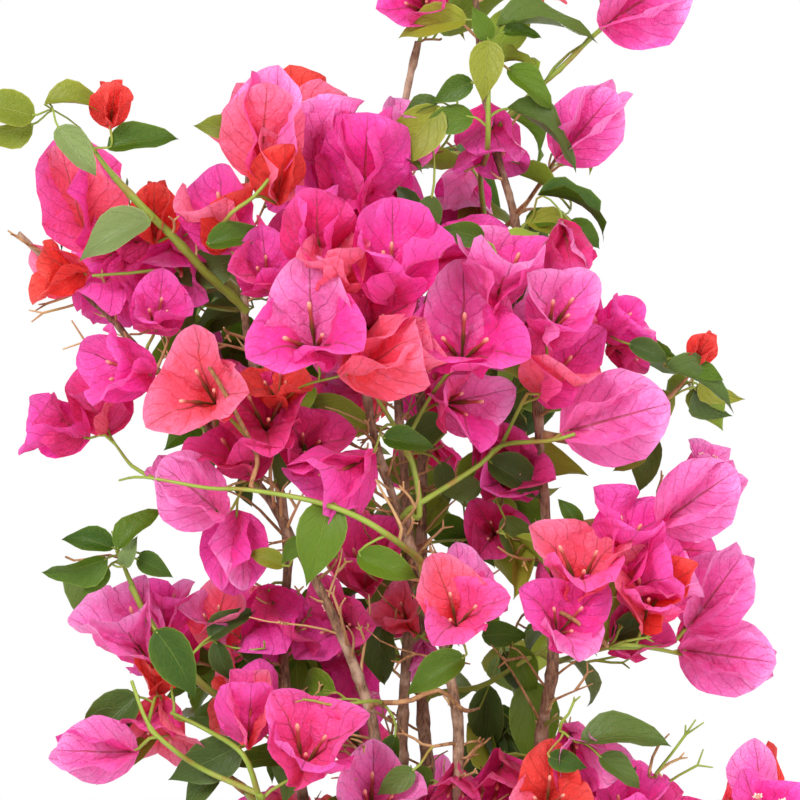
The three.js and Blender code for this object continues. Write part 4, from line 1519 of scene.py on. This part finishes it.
def knotted(run, first, step=2.5 * MM, swelling=0.22):
    """A limb's run at a close step, with a knot where each old leaf was and a slight kink."""
    points = [point for point, _ in run]
    lengths = [0.0]
    for a, b in zip(points, points[1:]):
        lengths.append(lengths[-1] + (b - a).length)
    own = random.Random(first)
    knots, at = [], own.uniform(6, 16) * MM
    while at < lengths[-1]:
        knots.append(at)
        at += own.uniform(17, 34) * MM
    dense, count = [], int(lengths[-1] / step)
    for k in range(count + 1):
        length = lengths[-1] * k / count
        index = min(len(points) - 2, max(0, int(np.searchsorted(lengths, length)) - 1))
        t = (length - lengths[index]) / max(1e-9, lengths[index + 1] - lengths[index])
        point = points[index].lerp(points[index + 1], min(1, max(0, t)))
        radius = run[index][1] + (run[index + 1][1] - run[index][1]) * t
        swell = sum(math.exp(-((length - knot) / (2.4 * MM)) ** 2) for knot in knots)
        sway = noise.noise_vector(point * 45 + Vector((first, 0, 0))) * 1.1 * MM
        dense.append((point + sway, radius * (1 + swelling * min(1, swell))))
    return dense


def roughened(ob, height):
    """Bark's relief: each point moves in or out by a furrowed noise drawn out along Z."""
    mesh = ob.data
    places, ways = np.empty(len(mesh.vertices) * 3), np.empty(len(mesh.vertices) * 3)
    mesh.vertices.foreach_get("co", places)
    mesh.vertices.foreach_get("normal", ways)
    furrows = [noise.fractal(Vector((x * 520, y * 520, z * 110)), 0.8, 2.0, 3)
               for x, y, z in places.reshape(-1, 3)]
    places += ways * np.repeat(furrows, 3) * height
    mesh.vertices.foreach_set("co", places)
    mesh.update()
    return ob


def fluted(ob, axis_run):
    """Ridges on the foot that run up into the stems and out into the ground."""
    low, high = axis_run[0][0].z, axis_run[-1][0].z
    heights = [point.z for point, _ in axis_run]
    for vert in ob.data.vertices:
        share = min(1.0, max(0.0, (vert.co.z - low) / (high - low)))
        middle = Vector([np.interp(vert.co.z, heights, [point[axis] for point, _ in axis_run])
                         for axis in range(3)])
        out = Vector((vert.co.x - middle.x, vert.co.y - middle.y, 0))
        turn = math.atan2(out.y, out.x)
        ridge = 0.0
        for stem in STEMS:
            start = RUNS[stem][0][0]
            own = math.atan2(start.y - axis_run[-1][0].y, start.x - axis_run[-1][0].x)
            off = math.remainder(turn - own - 0.35 * (1 - share), 2 * math.pi)
            ridge += math.exp(-(off / 0.3) ** 2)
        depth = (0.4 + 1.0 * share + 1.2 * (1 - share) ** 3) * 1.6 * MM
        vert.co += out.normalized() * (ridge - 0.75) * depth
    return ob


def foot_path():
    """The foot's run, from just under the mix to a rounded top among the stems."""
    run, ground = RUNS["foot"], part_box("foot")[0].z
    radii = [radius for _, radius in run]
    for _ in range(3):
        radii = [(a + 2 * b + c) / 4
                 for a, b, c in zip(radii[:1] + radii, radii, radii[1:] + radii[-1:])]
    path = [(point, radius * (1 + 0.15 * math.exp((ground - point.z) / (8 * MM))))
            for (point, _), radius in zip(run, radii)]
    (low, wide), (high, narrow) = path[0], path[-1]
    top = [(high + UP * (rise * MM), narrow * share)
           for rise, share in ((2, 0.95), (5, 0.8), (8, 0.5))]
    return [(low - UP * (6 * MM), wide * 1.08)] + path + top


def rooted(run):
    """A stem's run, carried down into the foot, where it stands out as a ridge and fades."""
    start, thick = run[0]
    inward = RUNS["foot"][-1][0] - start
    inward.z = 0
    deep = [(start + inward * 0.5 - UP * (28 * MM), thick * 0.9),
            (start + inward * 0.15 - UP * (14 * MM), thick * 1.1)]
    for point, radius in run:
        flare = 0.3 * math.exp(-((point - start).length / (10 * MM)) ** 2)
        deep.append((point, radius * (1 + flare)))
    return deep


def bark_pieces():
    path = foot_path()
    stump = tubes("foot_bark", [knotted(path, 1, 0.9 * MM, 0.03)], BARK, 64)
    show(roughened(fluted(stump, path), 0.5 * MM), "bark", "foot")
    for k, stem in enumerate(STEMS):
        ob = tubes(stem + "_bark", [knotted(rooted(RUNS[stem]), 3 + k)], BARK, 14)
        show(roughened(ob, 0.28 * MM), "bark", stem)
    for k, bough in enumerate(BOUGHS):
        run = RUNS[bough]
        slot = "green_shoot" if bough in SHOOTS else "bark"
        back = (run[0][0] - run[1][0]).normalized() * 4 * MM
        joined = [(run[0][0] + back, run[0][1] * 1.25)] + run
        finish = TWIG_GREEN if slot == "green_shoot" else TWIG_WOOD
        joined = [(point, radius * slimness(bough)) for point, radius in joined]
        ob = tubes(bough + "_bark", [knotted(joined, 20 + k)], finish, 10)
        show(roughened(ob, 0.12 * MM), slot, bough)


def plain_pot():
    """The pot, turned from one profile: stepped foot, tapering wall, rolled rim, thin lip."""
    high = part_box("pot")[1]
    rim, height = high.x, high.z
    base = 65 * MM
    wall = 3.5 * MM
    band = height - 18 * MM
    flank = rim - 4 * MM

    def radius(z):
        return base + (flank - base) * z / height

    outer = [(0, 0), (base - 9 * MM, 0), (base - 8 * MM, 1.2 * MM), (base - 5 * MM, 1.2 * MM),
             (base - 4 * MM, 0), (base - 1.5 * MM, 0), (base, 1.5 * MM),
             (radius(8 * MM), 8 * MM), (radius(9 * MM) - 0.8 * MM, 9 * MM),
             (radius(band / 2), band / 2), (radius(band - 3 * MM), band - 3 * MM),
             (radius(band), band - 0.6 * MM), (rim - 2.2 * MM, band),
             (rim - 1.0 * MM, band + 1.2 * MM), (rim - 0.6 * MM, height - 6 * MM),
             (rim - 0.1 * MM, height - 4.5 * MM), (rim, height - 2.5 * MM),
             (rim - 0.6 * MM, height - 0.6 * MM), (rim - 2.0 * MM, height)]
    inner = [(flank - wall + 1.5 * MM, height), (flank - wall, height - 1.5 * MM),
             (radius(band) - wall, band), (radius(wall) - wall, wall), (0, wall)]
    ob = from_bmesh("pot_shell", turned(outer + inner, 96), pot_material())
    ob.data.set_sharp_from_angle(angle=math.radians(32))
    show(ob, "pot", "pot")


def potting_mix():
    """The mix: an uneven crumbly top inside the wall, with bits of bark lying on it."""
    low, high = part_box("potting_mix")
    top, reach = high.z, high.x
    rings = [(0, low.z), (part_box("pot")[1].x - 28 * MM, low.z), (reach - 0.4 * MM, top - 3 * MM)]
    rings += [(reach * k / 14, top - 3 * MM * max(0, (k - 10) / 4)) for k in range(13, -1, -1)]
    bm = turned(rings, 72)
    for vert in bm.verts:
        if vert.co.z > top - 4 * MM and vert.co.xy.length < reach - MM:
            rough = noise.fractal(vert.co * 140, 0.9, 2.1, 4)
            vert.co.z += max(-2.5, min(1.2, rough * 2.4)) * MM - 0.4 * MM
    crumbs = mix_material("potting_mix", rgb(38, 28, 22), rgb(84, 64, 48))
    show(from_bmesh("potting_mix_top", bm, crumbs), "potting_mix", "potting_mix")
    chip = mix_material("bark_chips", rgb(92, 62, 40), rgb(150, 108, 72))
    show(scattered_chips(top, reach).join("bark_chips", chip), "potting_mix")


def chip_form(k):
    """A lump of bark, uneven in its own way."""
    bm = bmesh.new()
    bmesh.ops.create_icosphere(bm, subdivisions=1, radius=1)
    for vert in bm.verts:
        vert.co *= 1 + 0.35 * noise.noise(vert.co * 1.7 + Vector((k * 5, 0, 0)))
    return form_of(bm, mapped(bm, lambda point: (0, 0)))


def scattered_chips(top, reach):
    """Flat bits of bark, strewn over the mix but for its middle."""
    own, chips = random.Random(5), Copies()
    forms = [chip_form(k) for k in range(4)]
    for _ in range(BARK_CHIPS):
        turn, out = own.uniform(0, 6.28), math.sqrt(own.uniform(0.08, 1)) * (reach - 7 * MM)
        sink = own.uniform(0.2, 1.6) * MM
        place = Vector((math.cos(turn) * out, math.sin(turn) * out, top - sink))
        spun = Matrix.Rotation(own.uniform(0, 6.28), 4, "Z")
        tilt = Matrix.Rotation(own.uniform(-0.5, 0.5), 4, "X")
        size = own.uniform(0.8, 2.6) * MM
        scale = Matrix.Diagonal((size * own.uniform(0.9, 1.8), size, size * 0.5, 1))
        chips.add(own.choice(forms), Matrix.Translation(place) @ (spun @ tilt) @ scale)
    return chips


def grow_crown():
    for node in BLOOM_MASSES:
        fill_blooms(node)
    for node in LEAF_MASSES:
        fill_leaves(node)
    fill_depth()


def add_pieces():
    for tint, copies in bracts.items():
        show(copies.join("bracts_" + tint, BRACT_PAINTS[tint]), "bract")
    for tint, copies in leaves.items():
        show(copies.join("leaves_" + tint, LEAF_PAINTS[tint]), "leaf")
    show(flower_tubes.join("flower_tubes", TUBE), "bract")
    show(flower_stars.join("flower_stars", STAR), "bract")
    show(tubes("twigs_woody", strands["wood"], TWIG_WOOD, 6), "bark")
    show(tubes("twigs_green", strands["green"], TWIG_GREEN, 6), "green_shoot")
    show(tubes("twigs_dry", strands["dry"], TWIG_DRY, 6), "bark")
    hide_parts(*BLOOM_MASSES)
    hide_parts(*LEAF_MASSES)


# --- Floor, light and camera ------------------------------------------------------------------

def lay_floor():
    bm = bmesh.new()
    bmesh.ops.create_circle(bm, cap_ends=True, segments=96, radius=FLOOR_RADIUS)
    floor = from_bmesh("floor", bm, Nodes("floor").finish(rgb(236, 236, 234), 0.8, 0.2))
    link(floor)


def add_area(name, place, aim, size, power):
    light = bpy.data.lights.new(name, "AREA")
    light.shape, light.size, light.energy = "DISK", size, power
    ob = bpy.data.objects.new(name, light)
    ob.location = place
    ob.rotation_euler = (aim - place).to_track_quat("-Z", "Y").to_euler()
    link(ob)


def light_studio():
    world = bpy.data.worlds.new("studio")
    bpy.context.scene.world = world
    world.use_nodes = True
    tree = world.node_tree
    tree.nodes.clear()
    output = tree.nodes.new("ShaderNodeOutputWorld")
    seen, soft = (tree.nodes.new("ShaderNodeBackground") for _ in range(2))
    seen.inputs[0].default_value = soft.inputs[0].default_value = (1, 1, 1, 1)
    seen.inputs[1].default_value = 1.0
    soft.inputs[1].default_value = 0.85
    path, mix = tree.nodes.new("ShaderNodeLightPath"), tree.nodes.new("ShaderNodeMixShader")
    tree.links.new(path.outputs["Is Camera Ray"], mix.inputs[0])
    tree.links.new(soft.outputs[0], mix.inputs[1])
    tree.links.new(seen.outputs[0], mix.inputs[2])
    tree.links.new(mix.outputs[0], output.inputs[0])
    add_area("key", Vector((-1.1, -2.1, 1.9)), CROWN_MIDDLE, 1.1, 66)
    add_area("fill", Vector((1.7, -1.7, 1.0)), CROWN_MIDDLE, 1.6, 26)
    add_area("back", Vector((0.6, 1.8, 1.8)), CROWN_MIDDLE, 1.2, 30)
    scene = bpy.context.scene
    scene.view_settings.view_transform = "Standard"
    scene.view_settings.look = "None"


def add_camera():
    data = bpy.data.cameras.new("camera")
    data.lens, data.sensor_width = LENS, SENSOR
    data.clip_start, data.clip_end = 0.05, 20
    distance = VIEW_WIDTH * LENS / SENSOR
    ob = bpy.data.objects.new("camera", data)
    ob.location = CROWN_MIDDLE + heading(0, CAMERA_LIFT) * distance
    ob.rotation_euler = (CROWN_MIDDLE - ob.location).to_track_quat("-Z", "Y").to_euler()
    link(ob)
    bpy.context.scene.camera = ob


add_camera()
lay_floor()
light_studio()
bark_pieces()
plain_pot()
potting_mix()
carry_on()
lay_twigs()
grow_named()
grow_crown()
add_spurs()
add_clutter()
add_pieces()
